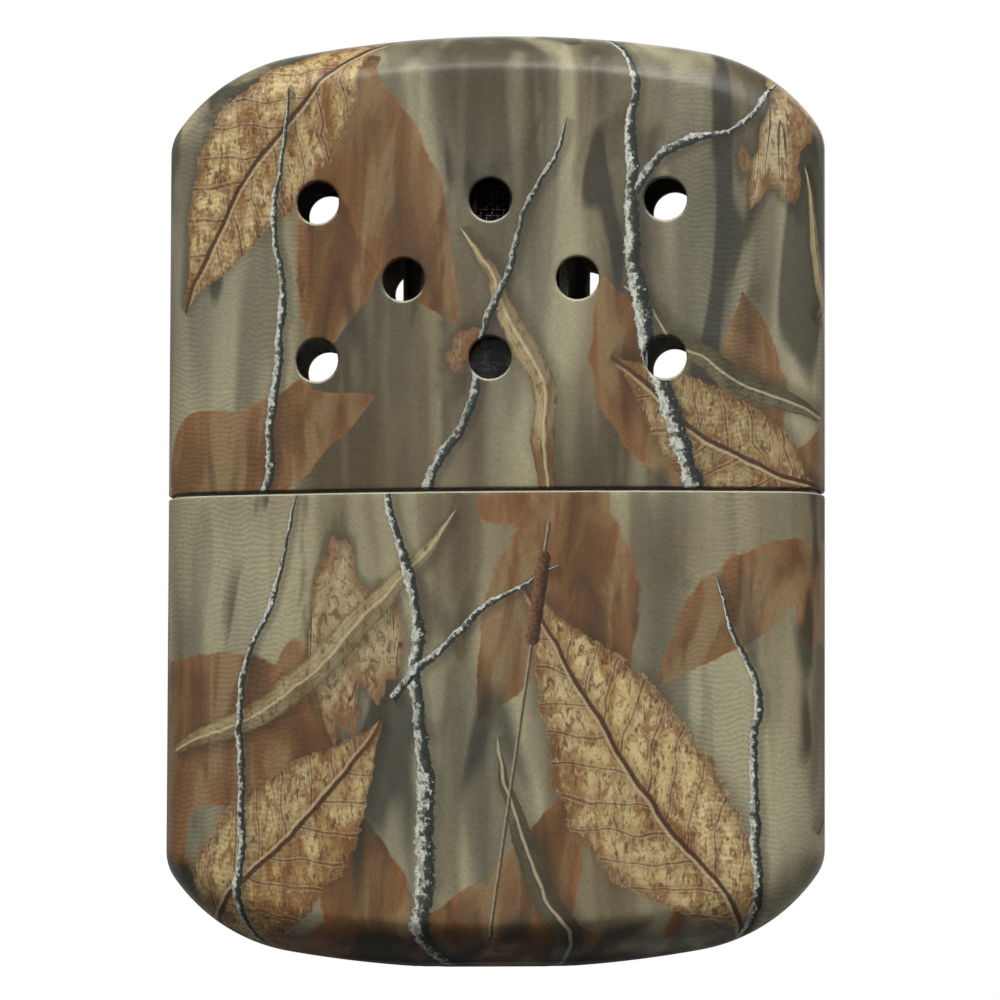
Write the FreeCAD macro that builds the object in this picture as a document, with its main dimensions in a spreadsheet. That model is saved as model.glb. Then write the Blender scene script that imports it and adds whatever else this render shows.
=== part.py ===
import FreeCAD, Part
import Sketcher
import math
import os

# Catalytic hand warmer: a flat, pillow-shaped drawn tank with a pull-off lid.
# Frame: millimetres, +Z up, front face towards -Y, origin in the middle of the
# flat foot that the tank stands on.

V = FreeCAD.Vector
os.makedirs("parts", exist_ok=True)
doc = FreeCAD.newDocument("HandWarmer")

# ---------------------------------------------------------------------------
# Driving dimensions
# ---------------------------------------------------------------------------
sheet = doc.addObject("Spreadsheet::Sheet", "Dimensions")
DIMS = [
    # casing form
    ("case_width", 68.0, "overall width"),
    ("case_height", 96.4, "overall height"),
    ("face_radius", 190.0, "plan radius of the bowed front and back faces"),
    ("end_radius", 4.3, "plan radius of the narrow sides"),
    ("dome_radius", 122.0, "front-view radius of the domed top and bottom"),
    ("corner_radius", 18.4, "front-view radius of the four corners"),
    ("corner_centre", 18.065, "distance of a corner centre from the middle"),
    ("round_over", 4.2, "rounding of the domed ends, outside"),
    ("inner_round_over", 3.5, "rounding of the domed ends, inside"),
    ("foot_drop", 0.3, "height that the flat foot takes off the bottom dome"),
    ("wall", 0.6, "sheet thickness of lid and tank"),
    ("tank_height", 48.3, "height of the tank rim"),
    ("lid_height", 48.05, "height of the lid from its rim to its top"),
    ("rim_chamfer", 0.18, "break on the two meeting rims"),
    # vent holes in the lid, three rows, through front and back
    ("vent_radius", 2.2, "radius of a vent hole"),
    ("vent_row_top", 78.5, "height of the upper row"),
    ("vent_row_mid", 70.3, "height of the middle row"),
    ("vent_row_low", 62.1, "height of the lower row"),
    ("vent_outer", 18.0, "offset of the outer holes from the middle"),
    ("vent_inner", 9.0, "offset of the middle row's holes"),
    # insert that closes the tank and guides the lid
    ("collar_inset", 0.68, "collar's inset: the wall plus 0.08 running clearance"),
    ("hollow_inset", 1.18, "inset of the insert's inside: 0.5 thick sheet"),
    ("insert_wall", 0.5, "sheet thickness of the insert"),
    ("insert_foot", 42.0, "height of the insert's lower edge"),
    ("seat_top", 48.0, "height where the soldered seat ends"),
    ("shoulder_top", 57.5, "height of the insert's shoulder"),
    ("shoulder_round", 1.2, "rounding of the shoulder"),
    # filler neck
    ("neck_width", 30.2, "outer width of the neck"),
    ("neck_depth", 8.4, "outer depth of the neck"),
    ("neck_wall", 0.5, "sheet thickness of the neck"),
    ("neck_foot", 55.4, "height of the neck's lower edge"),
    ("neck_top", 63.5, "height of the neck's mouth"),
    ("neck_flange", 0.7, "width of the soldered flange"),
    ("flange_sheet", 0.4, "thickness of the soldered flange"),
    ("screen_level", 62.7, "height of the neck screen"),
    ("screen_sheet", 0.3, "thickness of the neck screen"),
    # burner
    ("skirt_gap", 0.08, "running clearance between skirt and neck"),
    ("skirt_wall", 0.5, "sheet thickness of the skirt"),
    ("skirt_foot", 57.7, "height of the skirt's lower edge"),
    ("skirt_top", 65.5, "height of the skirt's top plate"),
    ("hood_width", 19.4, "outer width of the hood"),
    ("hood_depth", 7.8, "outer depth of the hood"),
    ("hood_wall", 0.4, "sheet thickness of the hood"),
    ("hood_top", 82.7, "height of the hood's top"),
    ("hood_flange", 1.3, "length of the hood's welded foot at each side"),
    ("window_width", 3.4, "width of a hood window"),
    ("window_pitch", 5.2, "spacing of the hood windows"),
    ("window_low", 68.6, "height of the lower end centre of a window"),
    ("window_high", 79.0, "height of the upper end centre of a window"),
    ("floor_sheet", 0.4, "thickness of the perforated burner floor"),
    ("sleeve_sheet", 0.25, "thickness of the gauze sleeve"),
    ("perforation", 0.6, "radius of a perforation"),
    ("perforation_pitch", 2.1, "spacing of the perforations"),
    # fillings
    ("cotton_inset", 1.45, "inset of the cotton from the casing's outside"),
    ("cotton_round", 2.6, "rounding of the cotton's lower end"),
    ("cotton_top", 55.2, "height of the cotton's top"),
    ("cotton_split", 10.9, "half width of the middle wad"),
    ("cotton_gap", 0.3, "gap between two wads"),
]
for row, (alias, value, note) in enumerate(DIMS, start=1):
    sheet.set("A%d" % row, alias)
    sheet.set("B%d" % row, str(value))
    sheet.setAlias("B%d" % row, alias)
    sheet.set("C%d" % row, note)
doc.recompute()
D = {alias: float(value) for alias, value, note in DIMS}


def bound(text):
    """Expression text with every sheet alias qualified."""
    out = text
    for alias in sorted(D, key=len, reverse=True):
        out = out.replace("$" + alias, "Dimensions." + alias)
    return out


def value(text):
    """Number that an expression text gives for the present cells."""
    out = text
    for alias in sorted(D, key=len, reverse=True):
        out = out.replace("$" + alias, repr(D[alias]))
    total = 0.0
    for term in out.replace("-", "+-").split("+"):
        term = term.strip()
        if not term:
            continue
        product = 1.0
        sign = 1.0
        if term.startswith("-"):
            sign, term = -1.0, term[1:]
        for factor in term.split("*"):
            if "/" in factor:
                over, under = factor.split("/")
                product *= float(over) / float(under)
            else:
                product *= float(factor)
        total += sign * product
    return total


def plane(body, role):
    for feature in body.Origin.OriginFeatures:
        if getattr(feature, "Role", "") == role:
            return feature
    raise RuntimeError("no plane " + role)


def new_sketch(body, name, role="XY_Plane", level=None):
    sketch = body.newObject("Sketcher::SketchObject", name)
    sketch.AttachmentSupport = [(plane(body, role), "")]
    sketch.MapMode = "FlatFace"
    if level is not None:
        sketch.AttachmentOffset = FreeCAD.Placement(V(0, 0, value(level)), FreeCAD.Rotation())
        sketch.setExpression("AttachmentOffset.Base.z", bound(level))
    return sketch


def tie(sketch, index, name, text):
    """Name a constraint and bind it to the sheet."""
    sketch.renameConstraint(index, name)
    sketch.setExpression("Constraints." + name, bound(text))


C = Sketcher.Constraint


def half_lens(body, name, inset, level):
    """Front half of the casing's plan section, inset from the outside: a bowed
    face between two small side arcs, closed along the middle plane."""
    sk = new_sketch(body, name, level=level)
    w = D["case_width"] / 2 - value(inset)
    rf = D["face_radius"] - value(inset)
    re = D["end_radius"] - value(inset)
    cx = w - re
    yc = math.sqrt((rf - re) ** 2 - cx ** 2)
    centre = V(0, yc, 0)
    touch = {}
    for sx in (-1, 1):
        d = (V(sx * cx, 0, 0) - centre).normalize()
        touch[sx] = centre + d * rf
    face = Part.ArcOfCircle(Part.Circle(centre, V(0, 0, 1), rf),
                            math.atan2(touch[-1].y - yc, touch[-1].x),
                            math.atan2(touch[1].y - yc, touch[1].x))
    right = Part.ArcOfCircle(Part.Circle(V(cx, 0, 0), V(0, 0, 1), re),
                             math.atan2(touch[1].y, touch[1].x - cx), 0.0)
    left = Part.ArcOfCircle(Part.Circle(V(-cx, 0, 0), V(0, 0, 1), re),
                            math.pi, math.atan2(touch[-1].y, touch[-1].x + cx) + 2 * math.pi)
    sk.addGeometry([face, right, left, Part.LineSegment(V(w, 0, 0), V(-w, 0, 0))], False)
    sk.addConstraint([
        C("Tangent", 0, 2, 1, 1), C("Tangent", 2, 2, 0, 1),
        C("Coincident", 1, 2, 3, 1), C("Coincident", 3, 2, 2, 1),
        C("PointOnObject", 3, 1, -1), C("PointOnObject", 3, 2, -1),
        C("PointOnObject", 1, 3, -1), C("PointOnObject", 2, 3, -1),
        C("PointOnObject", 0, 3, -2), C("Equal", 1, 2)])
    tie(sk, sk.addConstraint(C("Radius", 0, rf)), "face_curve", "$face_radius-" + inset)
    tie(sk, sk.addConstraint(C("Radius", 1, re)), "side_curve", "$end_radius-" + inset)
    tie(sk, sk.addConstraint(C("DistanceX", -1, 1, 3, 1, w)), "half_width",
        "$case_width*0.5-" + inset)
    return sk


def dome_line(body, name, inset, drop):
    """Region below the casing's domed bottom, inset from the outside."""
    sk = new_sketch(body, name, "XZ_Plane")
    rd = D["dome_radius"] - value(inset)
    rc = D["corner_radius"] - value(inset)
    zd = D["dome_radius"] - value(drop)
    ccx = D["corner_centre"]
    phi = math.asin(ccx / (rd - rc))
    ccz = zd - (rd - rc) * math.cos(phi)
    xm = D["case_width"] / 2 + 1.5 - value(inset)
    end = -math.acos((xm - ccx) / rc)
    low = -10.0
    zs = ccz + rc * math.sin(end)
    lines = [
        Part.ArcOfCircle(Part.Circle(V(0, zd, 0), V(0, 0, 1), rd), -math.pi / 2 - phi, -math.pi / 2 + phi),
        Part.ArcOfCircle(Part.Circle(V(ccx, ccz, 0), V(0, 0, 1), rc), -math.pi / 2 + phi, end),
        Part.ArcOfCircle(Part.Circle(V(-ccx, ccz, 0), V(0, 0, 1), rc), -math.pi - end, -math.pi / 2 - phi),
        Part.LineSegment(V(xm, zs, 0), V(xm, low, 0)),
        Part.LineSegment(V(xm, low, 0), V(-xm, low, 0)),
        Part.LineSegment(V(-xm, low, 0), V(-xm, zs, 0))]
    sk.addGeometry(lines, False)
    sk.addConstraint([
        C("Tangent", 0, 2, 1, 1), C("Tangent", 2, 2, 0, 1),
        C("Coincident", 1, 2, 3, 1), C("Coincident", 3, 2, 4, 1),
        C("Coincident", 4, 2, 5, 1), C("Coincident", 5, 2, 2, 1),
        C("Vertical", 3), C("Vertical", 5), C("Horizontal", 4),
        C("PointOnObject", 0, 3, -2), C("Equal", 1, 2)])
    tie(sk, sk.addConstraint(C("Radius", 0, rd)), "dome_curve", "$dome_radius-" + inset)
    tie(sk, sk.addConstraint(C("DistanceY", -1, 1, 0, 3, zd)), "dome_height", "$dome_radius-" + drop)
    tie(sk, sk.addConstraint(C("Radius", 1, rc)), "corner_curve", "$corner_radius-" + inset)
    tie(sk, sk.addConstraint(C("DistanceX", -1, 1, 1, 3, ccx)), "corner_right", "$corner_centre")
    tie(sk, sk.addConstraint(C("DistanceX", 2, 3, -1, 1, ccx)), "corner_left", "$corner_centre")
    tie(sk, sk.addConstraint(C("DistanceX", -1, 1, 3, 1, xm)), "reach_right", "$case_width*0.5+1.5-" + inset)
    tie(sk, sk.addConstraint(C("DistanceX", 5, 1, -1, 1, xm)), "reach_left", "$case_width*0.5+1.5-" + inset)
    sk.addConstraint(C("DistanceY", 4, 1, -1, 1, -low))
    return sk


def end_chain(shape):
    """Names of the edges that the dome line leaves on the casing form."""
    names = []
    for i, e in enumerate(shape.Edges, start=1):
        b = e.BoundBox
        if b.ZMax > 14.0 or e.Length < 0.5:
            continue
        if b.ZLength > 1.5 * max(b.XLength, b.YLength) and b.XLength < 0.5:
            continue
        if b.YLength > 3.0 and b.ZLength < 0.01 and b.YLength > 1.5 * b.XLength:
            continue
        names.append("Edge%d" % i)
    return names


def casing_form(name, inset, top, drop, rounding):
    """Pillow form with an open-topped prism above a rounded, domed end."""
    body = doc.addObject("PartDesign::Body", name)
    section = half_lens(body, name + "_section", inset, "-3.0")
    doc.recompute()
    pad = body.newObject("PartDesign::Pad", name + "_pad")
    pad.Profile = section
    pad.Length = value(top) + 3.0
    pad.setExpression("Length", bound(top + "+3.0"))
    doc.recompute()
    both = body.newObject("PartDesign::Mirrored", name + "_both")
    both.Originals = [pad]
    both.MirrorPlane = (plane(body, "XZ_Plane"), [""])
    body.Tip = both
    doc.recompute()
    line = dome_line(body, name + "_dome", inset, drop)
    doc.recompute()
    cut = body.newObject("PartDesign::Pocket", name + "_cut")
    cut.Profile = line
    cut.Type = "ThroughAll"
    cut.SideType = "Symmetric"
    doc.recompute()
    full = both.Shape.Volume
    if not cut.Shape.Volume < full - 500.0:
        raise RuntimeError(name + ": dome line cut nothing")
    soft = body.newObject("PartDesign::Fillet", name + "_round")
    soft.Base = (cut, end_chain(cut.Shape))
    soft.Radius = value(rounding)
    soft.setExpression("Radius", bound(rounding))
    body.Tip = soft
    doc.recompute()
    return body


def slot(sk, cx, cy, a, r, upright, names, texts):
    """Oblong outline: two half circles a apart either side of (cx, cy).
    texts: centre-distance and radius expressions, plus centre ones if not 0."""
    n = sk.GeometryCount
    q = math.pi / 2
    if upright:
        geo = [Part.ArcOfCircle(Part.Circle(V(cx, cy + a, 0), V(0, 0, 1), r), 0, math.pi),
               Part.LineSegment(V(cx - r, cy + a, 0), V(cx - r, cy - a, 0)),
               Part.ArcOfCircle(Part.Circle(V(cx, cy - a, 0), V(0, 0, 1), r), math.pi, 2 * math.pi),
               Part.LineSegment(V(cx + r, cy - a, 0), V(cx + r, cy + a, 0))]
    else:
        geo = [Part.ArcOfCircle(Part.Circle(V(cx + a, cy, 0), V(0, 0, 1), r), -q, q),
               Part.LineSegment(V(cx + a, cy + r, 0), V(cx - a, cy + r, 0)),
               Part.ArcOfCircle(Part.Circle(V(cx - a, cy, 0), V(0, 0, 1), r), q, 3 * q),
               Part.LineSegment(V(cx - a, cy - r, 0), V(cx + a, cy - r, 0))]
    sk.addGeometry(geo, False)
    sk.addConstraint([C("Tangent", n, 2, n + 1, 1), C("Tangent", n + 1, 2, n + 2, 1),
                      C("Tangent", n + 2, 2, n + 3, 1), C("Tangent", n + 3, 2, n, 1),
                      C("Equal", n, n + 2)])
    return n


def oblong(body, name, width, depth, level):
    """Oblong outline about the middle, lying in a level plane."""
    sk = new_sketch(body, name, level=level)
    r = value(depth) / 2
    a = value(width) / 2 - r
    n = slot(sk, 0, 0, a, r, False, None, None)
    sk.addConstraint([C("PointOnObject", n, 3, -1), C("PointOnObject", n + 2, 3, -1)])
    half = "(" + bound(width) + "-(" + bound(depth) + "))*0.5"
    for geo, ends, label in ((n, (-1, 1, n, 3), "right_centre"), (n + 2, (n + 2, 3, -1, 1), "left_centre")):
        i = sk.addConstraint(C("DistanceX", *ends, a))
        sk.renameConstraint(i, label)
        sk.setExpression("Constraints." + label, half)
    i = sk.addConstraint(C("Radius", n, r))
    sk.renameConstraint(i, "end_curve")
    sk.setExpression("Constraints.end_curve", "(" + bound(depth) + ")*0.5")
    return sk


def pad(body, sketch, name, length):
    p = body.newObject("PartDesign::Pad", name)
    p.Profile = sketch
    p.Length = value(length)
    p.setExpression("Length", bound(length))
    body.Tip = p
    doc.recompute()
    return p


def pocket_up(body, sketch, name, length, least):
    """Pocket that runs upwards from its sketch; least is the volume it must take."""
    before = body.Shape.Volume
    p = body.newObject("PartDesign::Pocket", name)
    p.Profile = sketch
    p.Length = value(length)
    p.setExpression("Length", bound(length))
    p.Reversed = True
    body.Tip = p
    doc.recompute()
    if not p.Shape.Volume < before - least:
        raise RuntimeError(name + ": pocket cut nothing")
    return p


def label(obj, node):
    obj.Label = node
    return obj


NODES = []


def node(obj, name):
    label(obj, name)
    NODES.append(obj)
    return obj


# ---------------------------------------------------------------------------
# Tank shell: deep-drawn cup with a domed bottom and a small flat foot
# ---------------------------------------------------------------------------
tank_outer = casing_form("TankOutside", "0.0", "$tank_height", "$foot_drop", "$round_over")
tank_inner = casing_form("TankInside", "$wall", "$tank_height+1.0", "$foot_drop", "$inner_round_over")
# the flat foot takes the lowest part of the dome off the outside
foot = doc.addObject("Part::Box", "FootPlane")
foot.Length, foot.Width, foot.Height = 80.0, 20.0, 4.0
foot.Placement = FreeCAD.Placement(V(-40, -10, -4), FreeCAD.Rotation())
tank_flat = doc.addObject("Part::Cut", "TankFlat")
tank_flat.Base, tank_flat.Tool = tank_outer, foot
doc.recompute()
tank_cup = doc.addObject("Part::Cut", "TankCup")
tank_cup.Base, tank_cup.Tool = tank_flat, tank_inner
doc.recompute()


def rim_edges(shape, level, inset):
    """Outer rim edges at a level, as (index, chamfer, chamfer) entries."""
    picked = []
    w = D["case_width"] / 2 - inset
    for i, e in enumerate(shape.Edges, start=1):
        b = e.BoundBox
        if abs(b.ZMin - level) < 0.01 and abs(b.ZMax - level) < 0.01:
            m = e.valueAt((e.FirstParameter + e.LastParameter) / 2)
            rf = D["face_radius"]
            yc = math.sqrt((rf - D["end_radius"]) ** 2 - (D["case_width"] / 2 - D["end_radius"]) ** 2)
            out_face = abs(math.hypot(m.x, abs(m.y) + yc) - rf) < 0.05
            out_side = abs(math.hypot(abs(m.x) - (D["case_width"] / 2 - D["end_radius"]), m.y) - D["end_radius"]) < 0.05
            if out_face or out_side:
                picked.append(i)
    return picked


tank = doc.addObject("Part::Chamfer", "TankShell")
tank.Base = tank_cup
c = D["rim_chamfer"]
tank.Edges = [(i, c, c) for i in rim_edges(tank_cup.Shape, D["tank_height"], 0.0)]
doc.recompute()
node(tank, "tank_shell")

# ---------------------------------------------------------------------------
# Lid shell: the same form turned over, with three rows of vent holes
# ---------------------------------------------------------------------------
lid_outer = casing_form("LidOutside", "0.0", "$lid_height", "0.0", "$round_over")
lid_inner = casing_form("LidInside", "$wall", "$lid_height+1.0", "0.0", "$inner_round_over")
lid_cup_down = doc.addObject("Part::Cut", "LidCup")
lid_cup_down.Base, lid_cup_down.Tool = lid_outer, lid_inner
doc.recompute()
lid_turned = doc.addObject("Part::Mirroring", "LidTurned")
lid_turned.Source = lid_cup_down
lid_turned.Normal = V(0, 0, 1)
lid_turned.Base = V(0, 0, D["case_height"] / 2)
lid_turned.setExpression("Base.z", bound("$case_height*0.5"))
doc.recompute()

vents = []
for row, offsets in (("vent_row_top", ("-$vent_outer", "0.0", "$vent_outer")),
                     ("vent_row_mid", ("-$vent_inner", "$vent_inner")),
                     ("vent_row_low", ("-$vent_outer", "0.0", "$vent_outer"))):
    for off in offsets:
        pin = doc.addObject("Part::Cylinder", "Vent")
        pin.Radius = D["vent_radius"]
        pin.setExpression("Radius", bound("$vent_radius"))
        pin.Height = 20.0
        x = {"-": -1.0, "0": 0.0, "$": 1.0}[off[0]] * (0.0 if off == "0.0" else D[off.strip("-$")])
        pin.Placement = FreeCAD.Placement(V(x, 10, D[row]), FreeCAD.Rotation(V(1, 0, 0), 90))
        if off != "0.0":
            pin.setExpression("Placement.Base.x", bound(off))
        pin.setExpression("Placement.Base.z", bound("$" + row))
        vents.append(pin)
vent_pins = doc.addObject("Part::MultiFuse", "VentPins")
vent_pins.Shapes = vents
doc.recompute()
lid_vented = doc.addObject("Part::Cut", "LidVented")
lid_vented.Base, lid_vented.Tool = lid_turned, vent_pins
doc.recompute()
lid = doc.addObject("Part::Chamfer", "LidShell")
lid.Base = lid_vented
lid.Edges = [(i, c, c) for i in rim_edges(lid_vented.Shape, D["case_height"] - D["lid_height"], 0.0)]
doc.recompute()
node(lid, "lid_shell")

# ---------------------------------------------------------------------------
# Tank insert: soldered seat inside the rim, collar that guides the lid, and a
# flat shoulder with the opening for the neck
# ---------------------------------------------------------------------------
insert = doc.addObject("PartDesign::Body", "TankInsert")
seat = pad(insert, half_lens(insert, "Seat", "$wall", "$insert_foot"), "SeatPad", "$seat_top-$insert_foot")
collar = pad(insert, half_lens(insert, "Collar", "$collar_inset", "$seat_top"), "CollarPad",
             "$shoulder_top-$seat_top")
hollow = pocket_up(insert, half_lens(insert, "Hollow", "$hollow_inset", "$insert_foot"),
                   "HollowPocket", "$shoulder_top-$insert_foot-$insert_wall", 1000.0)
both = insert.newObject("PartDesign::Mirrored", "InsertBoth")
both.Originals = [seat, collar, hollow]
both.MirrorPlane = (plane(insert, "XZ_Plane"), [""])
insert.Tip = both
doc.recompute()
pocket_up(insert, oblong(insert, "NeckOpening", "$neck_width", "$neck_depth", "$shoulder_top-1.0"),
          "NeckOpeningPocket", "2.0", 50.0)
top_edges = []
for i, e in enumerate(insert.Shape.Edges, start=1):
    b = e.BoundBox
    if abs(b.ZMin - D["shoulder_top"]) < 0.01 and abs(b.ZMax - D["shoulder_top"]) < 0.01:
        m = e.valueAt((e.FirstParameter + e.LastParameter) / 2)
        if math.hypot(m.x / 34.0, m.y / 6.7) > 0.8:
            top_edges.append("Edge%d" % i)
base = insert.Tip
shoulder = insert.newObject("PartDesign::Fillet", "ShoulderRound")
shoulder.Base = (base, top_edges)
shoulder.Radius = D["shoulder_round"]
shoulder.setExpression("Radius", bound("$shoulder_round"))
insert.Tip = shoulder
doc.recompute()
node(insert, "tank_insert")

# ---------------------------------------------------------------------------
# Filler neck: oblong tube through the shoulder with a soldered flange below it
# ---------------------------------------------------------------------------
neck = doc.addObject("PartDesign::Body", "FillerNeck")
pad(neck, oblong(neck, "NeckTube", "$neck_width", "$neck_depth", "$neck_foot"), "NeckTubePad",
    "$neck_top-$neck_foot")
pad(neck, oblong(neck, "NeckFlange", "$neck_width+2.0*$neck_flange", "$neck_depth+2.0*$neck_flange",
                 "$shoulder_top-$insert_wall-$flange_sheet"), "NeckFlangePad", "$flange_sheet")
pocket_up(neck, oblong(neck, "NeckBore", "$neck_width-2.0*$neck_wall", "$neck_depth-2.0*$neck_wall",
                       "$neck_foot-1.0"), "NeckBorePocket", "$neck_top-$neck_foot+2.0", 1000.0)
node(neck, "filler_neck")


def perforated(name, width, depth, level, sheet_text, columns, rows):
    """Oblong sheet with a centred grid of round perforations."""
    body = doc.addObject("PartDesign::Body", name)
    plate = pad(body, oblong(body, name + "_plate", width, depth, level), name + "_pad", sheet_text)
    pitch = D["perforation_pitch"]
    sk = new_sketch(body, name + "_hole", level=level)
    x0, y0 = -(columns - 1) / 2 * pitch, -(rows - 1) / 2 * pitch
    sk.addGeometry(Part.Circle(V(x0, y0, 0), V(0, 0, 1), D["perforation"]), False)
    tie(sk, sk.addConstraint(C("Radius", 0, D["perforation"])), "hole_curve", "$perforation")
    tie(sk, sk.addConstraint(C("DistanceX", 0, 3, -1, 1, -x0)), "first_x",
        "$perforation_pitch*%s" % ((columns - 1) / 2))
    if y0 < 0:
        tie(sk, sk.addConstraint(C("DistanceY", 0, 3, -1, 1, -y0)), "first_y",
            "$perforation_pitch*%s" % ((rows - 1) / 2))
    else:
        sk.addConstraint(C("PointOnObject", 0, 3, -1))
    doc.recompute()
    first = pocket_up(body, sk, name + "_perforation", sheet_text, 0.1)
    grid = body.newObject("PartDesign::MultiTransform", name + "_grid")
    along = body.newObject("PartDesign::LinearPattern", name + "_along")
    along.Direction = (sk, ["H_Axis"])
    along.Length = pitch * (columns - 1)
    along.setExpression("Length", bound("$perforation_pitch*%d" % (columns - 1)))
    along.Occurrences = columns
    across = body.newObject("PartDesign::LinearPattern", name + "_across")
    across.Direction = (sk, ["V_Axis"])
    across.Length = pitch * (rows - 1)
    across.setExpression("Length", bound("$perforation_pitch*%d" % (rows - 1)))
    across.Occurrences = rows
    grid.Originals = [first]
    grid.Transformations = [along, across]
    body.Tip = grid
    doc.recompute()
    one = plate.Shape.Volume - first.Shape.Volume
    if abs(plate.Shape.Volume - grid.Shape.Volume - one * columns * rows) > 0.05 * one * columns * rows:
        raise RuntimeError(name + ": perforations missing")
    return body


# ---------------------------------------------------------------------------
# Neck screen and the felt wick pad below it
# ---------------------------------------------------------------------------
node(perforated("NeckScreen", "$neck_width-2.0*$neck_wall", "$neck_depth-2.0*$neck_wall",
                "$screen_level", "$screen_sheet", 12, 3), "neck_screen")

wick = doc.addObject("PartDesign::Body", "WickPad")
pad(wick, oblong(wick, "WickOutline", "$neck_width-2.0*$neck_wall-0.4", "$neck_depth-2.0*$neck_wall-0.4",
                 "$cotton_top+0.3"), "WickPad_pad", "$screen_level-$cotton_top-0.5")
node(wick, "wick_pad")

# ---------------------------------------------------------------------------
# Cotton wads that hold the fuel: the tank's form, split in three side by side
# ---------------------------------------------------------------------------
cotton = casing_form("CottonForm", "$cotton_inset", "$cotton_top", "$foot_drop", "$cotton_round")
for side, name in ((-1, "cotton_wad_left"), (0, "cotton_wad_middle"), (1, "cotton_wad_right")):
    slab = doc.addObject("Part::Box", name + "_slab")
    slab.Width, slab.Height = 20.0, 70.0
    if side == 0:
        slab.Length = 2 * D["cotton_split"]
        slab.setExpression("Length", bound("2.0*$cotton_split"))
        slab.Placement = FreeCAD.Placement(V(-D["cotton_split"], -10, -5), FreeCAD.Rotation())
        slab.setExpression("Placement.Base.x", bound("-$cotton_split"))
    else:
        slab.Length = 30.0
        x = D["cotton_split"] + D["cotton_gap"]
        slab.Placement = FreeCAD.Placement(V(x if side > 0 else -x - 30.0, -10, -5), FreeCAD.Rotation())
        slab.setExpression("Placement.Base.x", bound("$cotton_split+$cotton_gap") if side > 0
                           else bound("-$cotton_split-$cotton_gap-30.0"))
    wad = doc.addObject("Part::Common", name + "_wad")
    wad.Base, wad.Tool = cotton, slab
    doc.recompute()
    node(wad, name)

# ---------------------------------------------------------------------------
# Burner: skirt that slips over the neck, perforated floor, windowed hood,
# gauze sleeve, retainer bars and the catalyst pad
# ---------------------------------------------------------------------------
SKIRT_W = "$neck_width+2.0*$skirt_gap+2.0*$skirt_wall"
SKIRT_D = "$neck_depth+2.0*$skirt_gap+2.0*$skirt_wall"
skirt = doc.addObject("PartDesign::Body", "BurnerSkirt")
pad(skirt, oblong(skirt, "SkirtOutline", SKIRT_W, SKIRT_D, "$skirt_foot"), "SkirtPad", "$skirt_top-$skirt_foot")
edges = [("Edge%d" % i) for i, e in enumerate(skirt.Shape.Edges, start=1)
         if abs(e.BoundBox.ZMin - D["skirt_top"]) < 0.01]
base = skirt.Tip
ease = skirt.newObject("PartDesign::Fillet", "SkirtRound")
ease.Base = (base, edges)
ease.Radius = 0.4
skirt.Tip = ease
doc.recompute()
pocket_up(skirt, oblong(skirt, "SkirtBore", "$neck_width+2.0*$skirt_gap", "$neck_depth+2.0*$skirt_gap",
                        "$skirt_foot"), "SkirtBorePocket", "$skirt_top-$skirt_foot-$skirt_wall", 500.0)
pocket_up(skirt, oblong(skirt, "SkirtPort", "$hood_width-2.0*$hood_wall-1.0", "$hood_depth-2.0*$hood_wall-1.0",
                        "$skirt_top-1.0"), "SkirtPortPocket", "2.0", 20.0)
node(skirt, "burner_skirt")

node(perforated("BurnerFloor", "$hood_width+2.0", "$hood_depth-0.5",
                "$skirt_top-$skirt_wall-$floor_sheet", "$floor_sheet", 8, 3), "burner_floor")

hood = doc.addObject("PartDesign::Body", "BurnerHood")
pad(hood, oblong(hood, "HoodOutline", "$hood_width", "$hood_depth", "$skirt_top"), "HoodPad",
    "$hood_top-$skirt_top")
edges = [("Edge%d" % i) for i, e in enumerate(hood.Shape.Edges, start=1)
         if abs(e.BoundBox.ZMin - D["hood_top"]) < 0.01]
base = hood.Tip
ease = hood.newObject("PartDesign::Fillet", "HoodRound")
ease.Base = (base, edges)
ease.Radius = 0.9
hood.Tip = ease
doc.recompute()
pad(hood, oblong(hood, "HoodFlange", "$hood_width+2.0*$hood_flange", "$hood_depth", "$skirt_top"),
    "HoodFlangePad", "$hood_wall")
pocket_up(hood, oblong(hood, "HoodBore", "$hood_width-2.0*$hood_wall", "$hood_depth-2.0*$hood_wall",
                       "$skirt_top"), "HoodBorePocket", "$hood_top-$skirt_top-$hood_wall", 500.0)
windows = new_sketch(hood, "HoodWindows", "XZ_Plane")
r = D["window_width"] / 2
zc, za = (D["window_low"] + D["window_high"]) / 2, (D["window_high"] - D["window_low"]) / 2
for k, name in ((-1, "left"), (0, "middle"), (1, "right")):
    n = slot(windows, k * D["window_pitch"], zc, za, r, True, None, None)
    for g, lvl in ((n, "$window_high"), (n + 2, "$window_low")):
        tie(windows, windows.addConstraint(C("DistanceY", -1, 1, g, 3, value(lvl))),
            name + ("_high" if g == n else "_low"), lvl)
        if k == 0:
            windows.addConstraint(C("PointOnObject", g, 3, -2))
        elif k > 0:
            tie(windows, windows.addConstraint(C("DistanceX", -1, 1, g, 3, D["window_pitch"])),
                name + ("_a" if g == n else "_b"), "$window_pitch")
        else:
            tie(windows, windows.addConstraint(C("DistanceX", g, 3, -1, 1, D["window_pitch"])),
                name + ("_a" if g == n else "_b"), "$window_pitch")
    tie(windows, windows.addConstraint(C("Radius", n, r)), name + "_curve", "$window_width*0.5")
doc.recompute()
before = hood.Shape.Volume
openw = hood.newObject("PartDesign::Pocket", "HoodWindowPocket")
openw.Profile = windows
openw.Type = "ThroughAll"
openw.SideType = "Symmetric"
hood.Tip = openw
doc.recompute()
if not openw.Shape.Volume < before - 50.0:
    raise RuntimeError("hood windows cut nothing")
pocket_up(hood, oblong(hood, "HoodTopSlot", "11.0", "1.6", "$hood_top-1.0"), "HoodTopSlotPocket", "2.0", 3.0)
node(hood, "burner_hood")

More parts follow.
